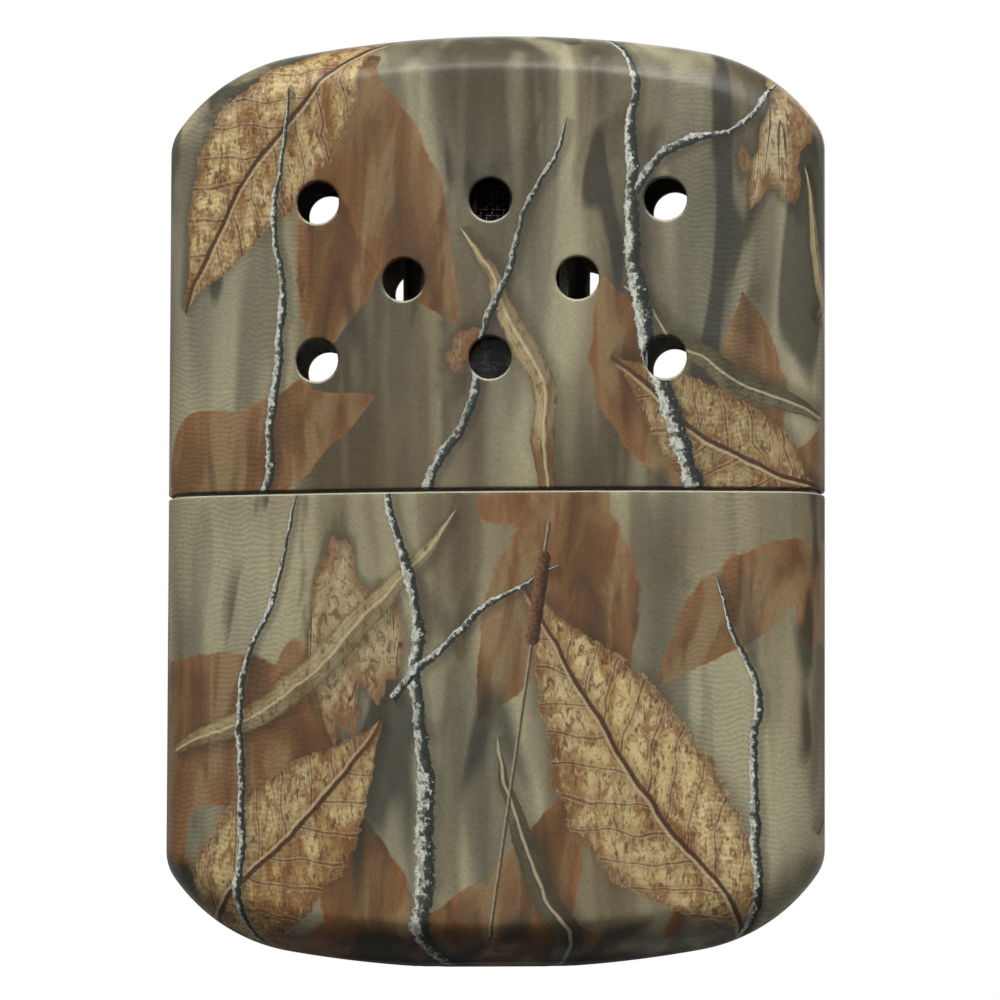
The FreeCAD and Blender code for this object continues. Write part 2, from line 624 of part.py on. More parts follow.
sleeve = doc.addObject("PartDesign::Body", "GauzeSleeve")
pad(sleeve, oblong(sleeve, "SleeveOutline", "$hood_width-2.0*$hood_wall-0.1", "$hood_depth-2.0*$hood_wall-0.1",
                   "$skirt_top"), "SleevePad", "$hood_top-$skirt_top-$hood_wall-0.6")
pocket_up(sleeve, oblong(sleeve, "SleeveBore", "$hood_width-2.0*$hood_wall-0.1-2.0*$sleeve_sheet",
                         "$hood_depth-2.0*$hood_wall-0.1-2.0*$sleeve_sheet", "$skirt_top-1.0"),
          "SleeveBorePocket", "$hood_top-$skirt_top+2.0", 500.0)
node(sleeve, "gauze_sleeve")

bars = []
for x in (-7.0, -2.6, 2.6, 7.0):
    for s in (-1, 1):
        bar = doc.addObject("Part::Cylinder", "RetainerBar")
        bar.Radius = 0.35
        bar.Height = D["hood_top"] - D["skirt_top"] - D["hood_wall"] - 0.6
        bar.setExpression("Height", bound("$hood_top-$skirt_top-$hood_wall-0.6"))
        y = (D["hood_depth"] / 2 - D["hood_wall"] - 0.05 - D["sleeve_sheet"] - 0.35 - 0.02)
        if abs(x) > 5.45:
            y = y - 0.28
        bar.Placement = FreeCAD.Placement(V(x, s * y, D["skirt_top"]), FreeCAD.Rotation())
        bar.setExpression("Placement.Base.z", bound("$skirt_top"))
        bars.append(bar)
bar_set = doc.addObject("Part::Compound", "RetainerBars")
bar_set.Links = bars
doc.recompute()
node(bar_set, "retainer_bars")

catalyst = doc.addObject("PartDesign::Body", "CatalystPad")
pad(catalyst, oblong(catalyst, "CatalystOutline", "$hood_width-2.0*$hood_wall-1.3", "4.4", "$skirt_top+0.2"),
    "CatalystPad_pad", "$hood_top-$skirt_top-$hood_wall-1.4")
node(catalyst, "catalyst_pad")

# ---------------------------------------------------------------------------
# Check every object, then write one file per node
# ---------------------------------------------------------------------------
doc.recompute()
bad = [o.Name for o in doc.Objects if any(s in ("Invalid", "Error") for s in o.State)]
if bad:
    raise RuntimeError("failed objects: " + ", ".join(bad))
for obj in NODES:
    shape = obj.Shape
    if shape.isNull() or not shape.isValid() or not shape.Solids:
        raise RuntimeError(obj.Label + ": bad shape")
for obj in NODES:
    obj.Shape.exportStep("parts/%s.step" % obj.Label)
    b = obj.Shape.optimalBoundingBox(False, False)
    print("%-18s solids %d  volume %9.2f  x %.2f..%.2f  y %.2f..%.2f  z %.2f..%.2f" % (
        obj.Label, len(obj.Shape.Solids), obj.Shape.Volume, b.XMin, b.XMax, b.YMin, b.YMax, b.ZMin, b.ZMax))
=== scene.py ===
import bmesh
import bpy
import math
import numpy as np
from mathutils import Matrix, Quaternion, Vector, noise


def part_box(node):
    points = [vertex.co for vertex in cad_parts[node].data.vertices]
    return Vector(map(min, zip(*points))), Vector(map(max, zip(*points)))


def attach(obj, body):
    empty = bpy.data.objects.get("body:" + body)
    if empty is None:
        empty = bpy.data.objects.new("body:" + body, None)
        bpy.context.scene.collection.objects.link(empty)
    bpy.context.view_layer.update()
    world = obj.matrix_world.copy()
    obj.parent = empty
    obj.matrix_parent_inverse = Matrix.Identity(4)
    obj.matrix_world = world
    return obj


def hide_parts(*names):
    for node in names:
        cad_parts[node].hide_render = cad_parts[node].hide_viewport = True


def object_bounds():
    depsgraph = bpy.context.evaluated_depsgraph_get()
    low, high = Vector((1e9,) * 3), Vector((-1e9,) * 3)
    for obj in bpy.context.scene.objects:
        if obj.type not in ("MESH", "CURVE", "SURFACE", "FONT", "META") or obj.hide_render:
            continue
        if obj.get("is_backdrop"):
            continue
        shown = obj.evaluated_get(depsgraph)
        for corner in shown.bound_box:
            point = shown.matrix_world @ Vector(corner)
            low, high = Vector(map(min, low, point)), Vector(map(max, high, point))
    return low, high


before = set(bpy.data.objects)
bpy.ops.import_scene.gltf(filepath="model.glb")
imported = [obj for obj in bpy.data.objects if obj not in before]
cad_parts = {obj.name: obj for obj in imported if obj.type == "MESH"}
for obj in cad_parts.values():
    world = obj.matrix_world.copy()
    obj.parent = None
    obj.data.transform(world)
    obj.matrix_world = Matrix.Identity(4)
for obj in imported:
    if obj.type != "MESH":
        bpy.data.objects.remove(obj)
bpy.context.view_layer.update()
MM = 0.001
scene = bpy.context.scene

# ---------------------------------------------------------------------------
# Case form, in millimetres: the same numbers as the CAD model
# ---------------------------------------------------------------------------
W, H = 68.0, 96.4
RF, RE = 190.0, 4.3                 # plan radii: faces, narrow sides
RD, RC, CC = 122.0, 18.4, 18.065    # front-view radii: dome, corner; corner centre
RB = 4.6                            # softening where corner meets side
WALL = 0.6
CX = W / 2 - RE
YC = math.sqrt((RF - RE) ** 2 - CX ** 2)
PSI_D = math.asin(CC / (RD - RC))
EC = RD - (RD - RC) * math.cos(PSI_D)
BX = W / 2 - RB
BD = math.sqrt((RC - RB) ** 2 - (BX - CC) ** 2)
EB = EC - BD
PSI_B = math.atan2(BX - CC, BD)
R_BEND, R_END, FLAT = 1.6, 4.45, 0.12  # tight bend off the faces; depth of the end cap; its flat middle


def half_depth(x):
    return np.sqrt(RF ** 2 - np.square(x)) - YC


def silhouette(psi):
    """Point (x, e) and inward normal of the outline where its normal has turned
    by psi from the crest; e is the distance from the domed end."""
    psi = np.asarray(psi, float)
    s, c = np.sin(psi), np.cos(psi)
    x = np.where(psi < PSI_D, RD * s, np.where(psi < PSI_B, CC + RC * s, BX + RB * s))
    e = np.where(psi < PSI_D, RD - RD * c, np.where(psi < PSI_B, EC - RC * c, EB - RB * c))
    return x, e, -s, c


def profile(psi, x_s):
    """Section across the outline at psi: a tight bend off the bowed face, then one broad
    arc over to the middle plane. Returns the arc radius, the angle where the arc meets
    the bend, the slope alpha where the bend meets the face, and the inset s of that."""
    psi, x_s = np.asarray(psi, float), np.asarray(x_s, float)
    alpha = np.zeros_like(x_s)
    s = np.full_like(x_s, R_END)
    for _ in range(60):
        x_c = x_s - np.sin(psi) * s
        alpha = np.arctan(np.sin(psi) * x_c / np.sqrt(RF ** 2 - x_c ** 2))
        rise = half_depth(x_c) - FLAT
        plain = rise / np.cos(alpha)
        d = plain - R_END
        r_eff = plain - 0.5 * (d + np.sqrt(d * d + 0.03))
        mid = (r_eff - R_BEND) * (1 - np.sin(alpha))
        phi0 = 2 * np.arctan(mid / (rise - R_BEND * np.cos(alpha)))
        arc = mid / (1 - np.cos(phi0)) + R_BEND
        s = mid + R_BEND * (1 - np.sin(alpha))
    return arc, phi0, alpha, s


def section(arc, phi0, alpha, count):
    """count + 1 points (inset, half depth, normal angle) from the face to the middle plane."""
    bend = math.pi / 2 - alpha - phi0
    w_bend, w_arc = (R_BEND + 1.6) * bend, (arc + 1.6) * phi0
    out = []
    for k in range(count + 1):
        w = (w_bend + w_arc) * k / count
        if w < w_bend:
            phi = math.pi / 2 - alpha - w / (R_BEND + 1.6)
            c = arc - R_BEND
            out.append((arc - c * math.cos(phi0) - R_BEND * math.cos(phi),
                        FLAT + c * math.sin(phi0) + R_BEND * math.sin(phi), phi))
        else:
            phi = max(0.0, phi0 - (w - w_bend) / (arc + 1.6))
            out.append((arc * (1 - math.cos(phi)), FLAT + arc * math.sin(phi), phi))
    return out


def outline_table():
    """Dense table of the outline by arc length, from the crest to the side."""
    psi = np.concatenate([np.linspace(0, PSI_D, 400)[:-1], np.linspace(PSI_D, PSI_B, 400)[:-1],
                          np.linspace(PSI_B, math.pi / 2, 200)])
    x, e, nx, ne = silhouette(psi)
    s = profile(psi, x)[3]
    t = np.concatenate([[0], np.cumsum(np.hypot(np.diff(x), np.diff(e)))])
    return {"psi": psi, "t": t, "xc": x + nx * s, "ec": e + ne * s}


TABLE = outline_table()
X_SIDE = float(TABLE["xc"][-1])


class Shell:
    """Closed sheet-metal cup: bowed front and back, rounded sides and end,
    rolled rim and, for the lid, vent holes with rounded lips."""

    def __init__(self):
        self.v, self.n, self.tag, self.faces = [], [], [], []

    def add(self, p, n, tag=0.0):
        self.v.append(p)
        self.n.append(n)
        self.tag.append(tag)
        return len(self.v) - 1

    def quad(self, *q):
        self.faces.append(q)


RIM_R = 0.22
LIP_R = 0.29


def make_cup(e_rim, to_z, holes=(), hole_r=2.2, rim_wear_and_highlight=1.0):
    """holes: (x, e) centres on a 9 by 8.2 tile grid. Returns vertex array, quads, the per-vertex pale values
    (worn paint, with painted highlight on the lower lip halves and, at full rim strength, the rim) and the bare inner
    faces' index."""
    sh = Shell()
    e0 = e_rim - RIM_R
    tab = TABLE
    # columns: a tiled middle block and two outer blocks whose upper ends follow the corner
    nmid, nout = 90, 24
    xm = np.linspace(-22.5, 22.5, nmid + 1)
    psi_m = np.interp(np.abs(xm), tab["xc"], tab["psi"])
    t_in = np.interp(22.5, tab["xc"], tab["t"])
    t_out = np.linspace(t_in, tab["t"][-1], nout + 1)[1:]
    psi_o = np.interp(t_out, tab["t"], tab["psi"])
    psi_o[-1] = math.pi / 2
    psi = np.concatenate([psi_o[::-1], psi_m, psi_o])
    sign = np.concatenate([-np.ones(nout), np.where(xm < 0, -1.0, 1.0), np.ones(nout)])
    xs, es, nx, ne = silhouette(psi)
    arc, phi0, alpha, s = profile(psi, xs)
    xtop, etop = sign * (xs + nx * s), es + ne * s
    xtop[nout:nout + nmid + 1] = xm
    I = len(psi) - 1
    xlow = np.concatenate([np.linspace(-X_SIDE, -22.5, nout + 1)[:-1], xm, np.linspace(22.5, X_SIDE, nout + 1)[1:]])
    # rows
    if holes:
        e_a, e_b = 38.4, 13.8          # tile zone, three tiles of 8.2
        rows = np.concatenate([np.linspace(e0, e_a, 19)[:-1], np.linspace(e_a, e_b, 55)])
        n_top = 16
    else:
        e_b = 13.8
        rows = np.linspace(e0, e_b, 70)
        n_top = 16
    Jt = len(rows) - 1
    J = Jt + n_top
    out = np.clip((np.abs(xlow) - 22.5) / (X_SIDE - 22.5), 0, 1)
    e_break = e_b + (17.0 - e_b) * out ** 1.2      # row Jt bends down towards the sides
    gx = np.zeros((I + 1, J + 1))
    ge = np.zeros((I + 1, J + 1))
    for j in range(J + 1):
        if j <= Jt:
            k = (e0 - rows[j]) / (e0 - e_b)
            ge[:, j] = e0 + (e_break - e0) * k
        else:
            k = (j - Jt) / n_top
            ge[:, j] = e_break + (etop - e_break) * k
        w = (j / J) ** 3
        w = w * w * (3 - 2 * w)
        gx[:, j] = (1 - w) * xlow + w * xtop
    gx[0, :], gx[I, :] = -X_SIDE, X_SIDE
    # which cells belong to hole tiles
    tile = {}
    if holes:
        ja = 18
        for hx, he in holes:
            ic = nout + int(round((hx - 4.5 + 22.5) / 0.5))
            jc = ja + int(round((e_a - (he + 4.1)) / (24.6 / 54)))
            tile[(ic, jc)] = (hx, he)
    inside = np.zeros((I + 1, J + 1), bool)
    for (ic, jc) in tile:
        inside[ic + 1:ic + 18, jc + 1:jc + 18] = True
    lip_rings = []

    def face_vertex(x, e, side, tag=0.0):
        y = float(half_depth(x))
        n = np.array([x, -(y + YC), 0.0]) / RF
        p = np.array([x, -y, e])
        if side > 0:
            p, n = p * (1, -1, 1), n * (1, -1, 1)
        return sh.add(p, n, tag)

    grids = {}
    for side in (-1, 1):
        g = -np.ones((I + 1, J + 1), int)
        for i in range(I + 1):
            for j in range(J + 1):
                if not inside[i, j]:
                    g[i, j] = face_vertex(gx[i, j], ge[i, j], side)
        grids[side] = g
        blocked = np.zeros((I, J), bool)
        for (ic, jc) in tile:
            blocked[ic:ic + 18, jc:jc + 18] = True
        for i in range(I):
            for j in range(J):
                if not blocked[i, j]:
                    q = (g[i, j], g[i + 1, j], g[i + 1, j + 1], g[i, j + 1])
                    sh.quad(*(q if side < 0 else q[::-1]))
        for (ic, jc), (hx, he) in tile.items():
            loop = [(ic + k, jc) for k in range(18)] + [(ic + 18, jc + k) for k in range(18)] + \
                   [(ic + 18 - k, jc + 18) for k in range(18)] + [(ic, jc + 18 - k) for k in range(18)]
            prev = [g[a] for a in loop]
            pts = np.array([(gx[a], ge[a]) for a in loop])
            rel = pts - (hx, he)
            ang = np.arctan2(rel[:, 1], rel[:, 0])
            # even angles, started at the first corner
            a0 = math.atan2(rel[0, 1], rel[0, 0])
            step = -2 * math.pi / 72 if rel[0, 1] > 0 and rel[18, 0] > 0 and rel[0, 0] < 0 and rel[1, 0] > rel[0, 0] and \
                (np.unwrap(ang)[1] - np.unwrap(ang)[0]) < 0 else 2 * math.pi / 72
            even = a0 + step * np.arange(72)
            ring_r = hole_r + LIP_R
            target = np.stack([hx + ring_r * np.cos(even), he + ring_r * np.sin(even)], 1)
            rings = 5
            for k in range(1, rings + 1):
                w = 1 - (1 - k / rings) ** 1.25
                q = pts * (1 - w) + target * w
                now = [face_vertex(a, b, side) for a, b in q]
                for m in range(72):
                    a, b = prev[m], prev[(m + 1) % 72]
                    c, d = now[(m + 1) % 72], now[m]
                    sh.quad(*((a, b, c, d) if side < 0 else (d, c, b, a)))
                prev = now
            lip_rings.append((side, hx, he, even, prev))
    # boundary chain of the faces, with the roundover profile at each node
    chain = [("L", 0, j) for j in range(J + 1)] + [("T", i, J) for i in range(1, I)] + [("R", I, j) for j in range(J, -1, -1)]
    side = [v[0] for v in profile(np.array([math.pi / 2]), np.array([W / 2]))]
    K = 16
    strips = []
    for kind, i, j in chain:
        if kind == "T":
            sx, se, sn, sc = sign[i] * xs[i], es[i], sign[i] * nx[i], ne[i]
            shape = section(arc[i], phi0[i], alpha[i], K)
        else:
            sg = -1.0 if kind == "L" else 1.0
            sx, se, sn, sc = sg * W / 2, ge[i, j], -sg, 0.0
            shape = section(side[0], side[1], side[2], K)
        col = [grids[-1][i, j]]
        for k in range(1, K + 1):
            inset, deep, phi = shape[k]
            cp, sp = math.cos(phi), math.sin(phi)
            p = np.array([sx + sn * inset, -deep, se + sc * inset])
            n = np.array([-sn * cp, -sp, -sc * cp])
            col.append(sh.add(p, n))
        back = [grids[1][i, j]]
        for k in range(1, K + 1):
            p, n = sh.v[col[k]] * (1, -1, 1), sh.n[col[k]] * (1, -1, 1)
            back.append(sh.add(p, n))
        strips.append(col + back[::-1])
    for a, b in zip(strips[:-1], strips[1:]):
        for k in range(len(a) - 1):
            sh.quad(a[k], b[k], b[k + 1], a[k + 1])
    outer_count = len(sh.v)
    outer_faces = list(sh.faces)
    P, N = np.array(sh.v), np.array(sh.n)
    # inner surface: the outer one moved in by the wall
    for k in range(outer_count):
        sh.add(P[k] - N[k] * WALL, -N[k], 0.0)
    inner_from = len(sh.faces)
    for q in outer_faces:
        sh.quad(*[a + outer_count for a in q[::-1]])
    inner_to = len(sh.faces)
    # rim loop, anticlockwise seen from the open end
    g, h = grids[-1], grids[1]
    loop = [g[i, 0] for i in range(I + 1)] + strips[-1][1:-1] + [h[i, 0] for i in range(I, -1, -1)] + strips[0][1:-1][::-1]
    prev = loop
    # rim values: pale worn paint round the rolled rim; at full strength, as on the tank, they are also a painted
    # highlight along the rim under the seam, while the lid takes little
    steps = [(RIM_R * (1 - math.cos(b)), e_rim - RIM_R + RIM_R * math.sin(b), 1.0 if b < 1.4 else 0.6)
             for b in np.linspace(0, math.pi / 2, 6)[1:]]
    steps += [(WALL - 0.06, e_rim, 0.3)]
    for inset, e, tag in steps:
        now = []
        for a in loop:
            p = P[a] - N[a] * inset
            now.append(sh.add(np.array([p[0], p[1], e]), N[a], tag * rim_wear_and_highlight))
        for m in range(len(loop)):
            mm = (m + 1) % len(loop)
            sh.quad(prev[m], now[m], now[mm], prev[mm])
        prev = now
    for m in range(len(loop)):
        mm = (m + 1) % len(loop)
        sh.quad(prev[m], loop[m] + outer_count, loop[mm] + outer_count, prev[mm])
    # hole walls
    for side, hx, he, even, ring in lip_rings:
        prev = ring
        levels = [(hole_r + LIP_R - LIP_R * math.sin(b), LIP_R * (1 - math.cos(b)), 1.0)
                  for b in np.linspace(0, math.pi / 2, 6)[1:]]
        levels += [(hole_r, WALL - 0.06, 0.5), (hole_r + 0.06, WALL, 0.0)]
        for radius, depth, tag in levels:
            now = []
            for a in even:
                x, e = hx + radius * math.cos(a), he + radius * math.sin(a)
                y = float(half_depth(x)) - depth
                # the lower half of each lip is made paler: painted highlight where overhead light falls on it, over
                # even worn paint all round
                now.append(sh.add(np.array([x, y * side, e]), N[ring[0]], tag * (0.30 + 0.62 * max(0.0, math.sin(a)))))
            for m in range(72):
                a, b, c, d = prev[m], prev[(m + 1) % 72], now[(m + 1) % 72], now[m]
                sh.quad(*((a, b, c, d) if side < 0 else (d, c, b, a)))
            prev = now
        inner = [a + outer_count for a in ring]
        for m in range(72):
            a, b, c, d = prev[m], prev[(m + 1) % 72], inner[(m + 1) % 72], inner[m]
            sh.quad(*((a, b, c, d) if side < 0 else (d, c, b, a)))
    V = np.array(sh.v)
    V[:, 2] = to_z(V[:, 2])
    bare = np.zeros(len(sh.faces), int)
    bare[inner_from:inner_to] = 1
    return V, sh.faces, np.array(sh.tag), bare


def mesh_object(name, verts_mm, faces, material, smooth=True, attributes=None, flip=False, second=None, index=None):
    me = bpy.data.meshes.new(name)
    me.from_pydata((np.asarray(verts_mm) * MM).tolist(), [], [tuple(int(a) for a in (q[::-1] if flip else q)) for q in faces])
    me.validate()
    me.update()
    if smooth:
        me.polygons.foreach_set("use_smooth", [True] * len(me.polygons))
    for key, values in (attributes or {}).items():
        layer = me.attributes.new(key, "FLOAT", "POINT")
        layer.data.foreach_set("value", np.asarray(values, np.float32))
    ob = bpy.data.objects.new(name, me)
    scene.collection.objects.link(ob)
    if material is not None:
        me.materials.append(material)
    if second is not None:
        me.materials.append(second)
        me.polygons.foreach_set("material_index", np.asarray(index, np.int32))
    return ob


# ---------------------------------------------------------------------------
# Small language for node materials
# ---------------------------------------------------------------------------
def lin(r, g, b):
    out = []
    for v in (r, g, b):
        v /= 255
        out.append(v / 12.92 if v <= 0.04045 else ((v + 0.055) / 1.055) ** 2.4)
    return (*out, 1.0)


class Val:
    """One node output that takes part in arithmetic."""

    def __init__(self, g, s):
        self.g, self.s = g, s

    def __add__(self, o):
        return self.g.m("ADD", self, o)

    def __radd__(self, o):
        return self.g.m("ADD", o, self)

    def __sub__(self, o):
        return self.g.m("SUBTRACT", self, o)

    def __rsub__(self, o):
        return self.g.m("SUBTRACT", o, self)

    def __mul__(self, o):
        return self.g.m("MULTIPLY", self, o)

    def __rmul__(self, o):
        return self.g.m("MULTIPLY", o, self)

    def __truediv__(self, o):
        return self.g.m("DIVIDE", self, o)

    def __neg__(self):
        return self.g.m("MULTIPLY", self, -1.0)

    def __pow__(self, o):
        return self.g.m("POWER", self, o)


class Graph:
    def __init__(self, name):
        self.mat = bpy.data.materials.new(name)
        self.mat.use_nodes = True
        self.t = self.mat.node_tree
        self.t.nodes.clear()
        self.out = self.node("ShaderNodeOutputMaterial")

    def node(self, kind, **props):
        n = self.t.nodes.new(kind)
        for k, v in props.items():
            setattr(n, k, v)
        return n

    def put(self, socket, v):
        if isinstance(v, Val):
            self.t.links.new(v.s, socket)
        elif v is not None:
            socket.default_value = v

    def m(self, op, a, b=None, c=None, clamp=False):
        n = self.node("ShaderNodeMath", operation=op, use_clamp=clamp)
        for i, v in enumerate((a, b, c)):
            self.put(n.inputs[i], v)
        return Val(self, n.outputs[0])

    def coords(self):
        """Object coordinates in millimetres: the vector and its three parts."""
        tc = self.node("ShaderNodeTexCoord")
        n = self.node("ShaderNodeVectorMath", operation="SCALE")
        self.t.links.new(tc.outputs["Object"], n.inputs[0])
        n.inputs["Scale"].default_value = 1000.0
        p = Val(self, n.outputs[0])
        return (p, *self.split(p))

    def split(self, v):
        n = self.node("ShaderNodeSeparateXYZ")
        self.put(n.inputs[0], v)
        return tuple(Val(self, o) for o in n.outputs)

    def vec(self, x=0.0, y=0.0, z=0.0):
        n = self.node("ShaderNodeCombineXYZ")
        for i, v in enumerate((x, y, z)):
            self.put(n.inputs[i], v)
        return Val(self, n.outputs[0])

    def stretch(self, v, scale, shift=(0, 0, 0)):
        """v times scale plus shift, part by part."""
        n = self.node("ShaderNodeVectorMath", operation="MULTIPLY_ADD")
        self.put(n.inputs[0], v)
        n.inputs[1].default_value = scale
        n.inputs[2].default_value = shift
        return Val(self, n.outputs[0])

    def noise(self, v, scale=1.0, detail=2.0, rough=0.5, warp=0.0):
        n = self.node("ShaderNodeTexNoise", noise_dimensions="3D")
        self.put(n.inputs["Vector"], v)
        for key, val in (("Scale", scale), ("Detail", detail), ("Roughness", rough), ("Distortion", warp)):
            n.inputs[key].default_value = val
        return Val(self, n.outputs["Fac"])

    def cells(self, v, scale=1.0, feature="F1", out="Distance", random=1.0):
        n = self.node("ShaderNodeTexVoronoi", voronoi_dimensions="3D", feature=feature)
        self.put(n.inputs["Vector"], v)
        n.inputs["Scale"].default_value = scale
        n.inputs["Randomness"].default_value = random
        return Val(self, n.outputs[out])

    def step(self, v, a, b, lo=0.0, hi=1.0):
        """Smooth rise from lo at a to hi at b."""
        n = self.node("ShaderNodeMapRange", interpolation_type="SMOOTHSTEP", clamp=True)
        for i, val in enumerate((v, a, b, lo, hi)):
            self.put(n.inputs[i], val)
        return Val(self, n.outputs[0])

    def line(self, v, a, b, lo=0.0, hi=1.0):
        n = self.node("ShaderNodeMapRange", interpolation_type="LINEAR", clamp=True)
        for i, val in enumerate((v, a, b, lo, hi)):
            self.put(n.inputs[i], val)
        return Val(self, n.outputs[0])

    def mix(self, fac, a, b, kind="MIX"):
        n = self.node("ShaderNodeMix", data_type="RGBA", blend_type=kind, clamp_factor=True)
        self.put(n.inputs[0], fac)
        self.put(n.inputs[6], a)
        self.put(n.inputs[7], b)
        return Val(self, n.outputs[2])

    def grey(self, v):
        """A value as a colour, to multiply with."""
        return self.vec(v, v, v)

    def ramp(self, v, stops, kind="LINEAR"):
        n = self.node("ShaderNodeValToRGB")
        r = n.color_ramp
        r.interpolation = kind
        while len(r.elements) < len(stops):
            r.elements.new(0.5)
        for e, (pos, col) in zip(r.elements, stops):
            e.position = pos
            e.color = col
        self.put(n.inputs[0], v)
        return Val(self, n.outputs["Color"])

    def curve(self, v, points):
        """A free curve over 0 to 1, through the points given in rising order."""
        n = self.node("ShaderNodeFloatCurve")
        line = n.mapping.curves[0]
        while len(line.points) < len(points):
            line.points.new(0.5, 0.5)
        for q, place in zip(line.points, points):
            q.location = place
        n.mapping.update()
        self.put(n.inputs["Value"], v)
        return Val(self, n.outputs[0])

    def attribute(self, name):
        n = self.node("ShaderNodeAttribute", attribute_type="GEOMETRY", attribute_name=name)
        return Val(self, n.outputs["Fac"])

    def bump(self, height, distance, strength=1.0, under=None):
        n = self.node("ShaderNodeBump")
        self.put(n.inputs["Height"], height)
        n.inputs["Distance"].default_value = distance
        n.inputs["Strength"].default_value = strength
        if under is not None:
            self.put(n.inputs["Normal"], under)
        return Val(self, n.outputs[0])

    def surface(self, color, rough, metal=0.0, normal=None, **sockets):
        n = self.node("ShaderNodeBsdfPrincipled")
        self.put(n.inputs["Base Color"], color)
        self.put(n.inputs["Roughness"], rough)
        self.put(n.inputs["Metallic"], metal)
        if normal is not None:
            self.put(n.inputs["Normal"], normal)
        for key, val in sockets.items():
            self.put(n.inputs[key.replace("_", " ")], val)
        self.t.links.new(n.outputs[0], self.out.inputs["Surface"])
        return self.mat


# ---------------------------------------------------------------------------
# The printed film: generic marsh-edge pattern of soft bands, rust patches, bark
# scraps, pointed dry leaves and frosted reeds
# ---------------------------------------------------------------------------
LEAF_OUTLINE = [(0.0, 0.045), (0.10, 0.042), (0.145, 0.10), (0.20, 0.40), (0.30, 0.78), (0.42, 0.97), (0.54, 1.0),
                (0.68, 0.80), (0.82, 0.46), (0.93, 0.15), (1.0, 0.0)]
BLADE_OUTLINE = [(0.0, 0.30), (0.12, 0.62), (0.30, 0.95), (0.48, 1.0), (0.66, 0.80), (0.84, 0.42), (1.0, 0.0)]
LOBE_OUTLINE = [(0.0, 0.30), (0.14, 0.60), (0.32, 0.92), (0.48, 1.0), (0.66, 0.84), (0.82, 0.50), (0.93, 0.20), (1.0, 0.0)]
STEM_OUTLINE = [(0.0, 1.0), (0.30, 0.86), (0.60, 0.66), (0.86, 0.42), (0.96, 0.24), (1.0, 0.0)]
SWING = 8.0                          # most that a centre line strays from straight, mm
EDGE, REPEAT = 38.8, 97.0            # film run from the middle of the front to the middle of a side; film repeat, mm


def middle(seed, arc, kink, n=8):
    """Offsets in mm of a curved, slightly kinked centre line; both ends stay in place."""
    rng = np.random.default_rng(seed)
    k = np.linspace(0, 1, n)
    walk = np.concatenate([[0], np.cumsum(rng.normal(0, kink, n - 1))])
    walk -= walk[0] + (walk[-1] - walk[0]) * k
    return [float(v) for v in np.clip(arc * 4 * k * (1 - k) + walk, -SWING, SWING)]


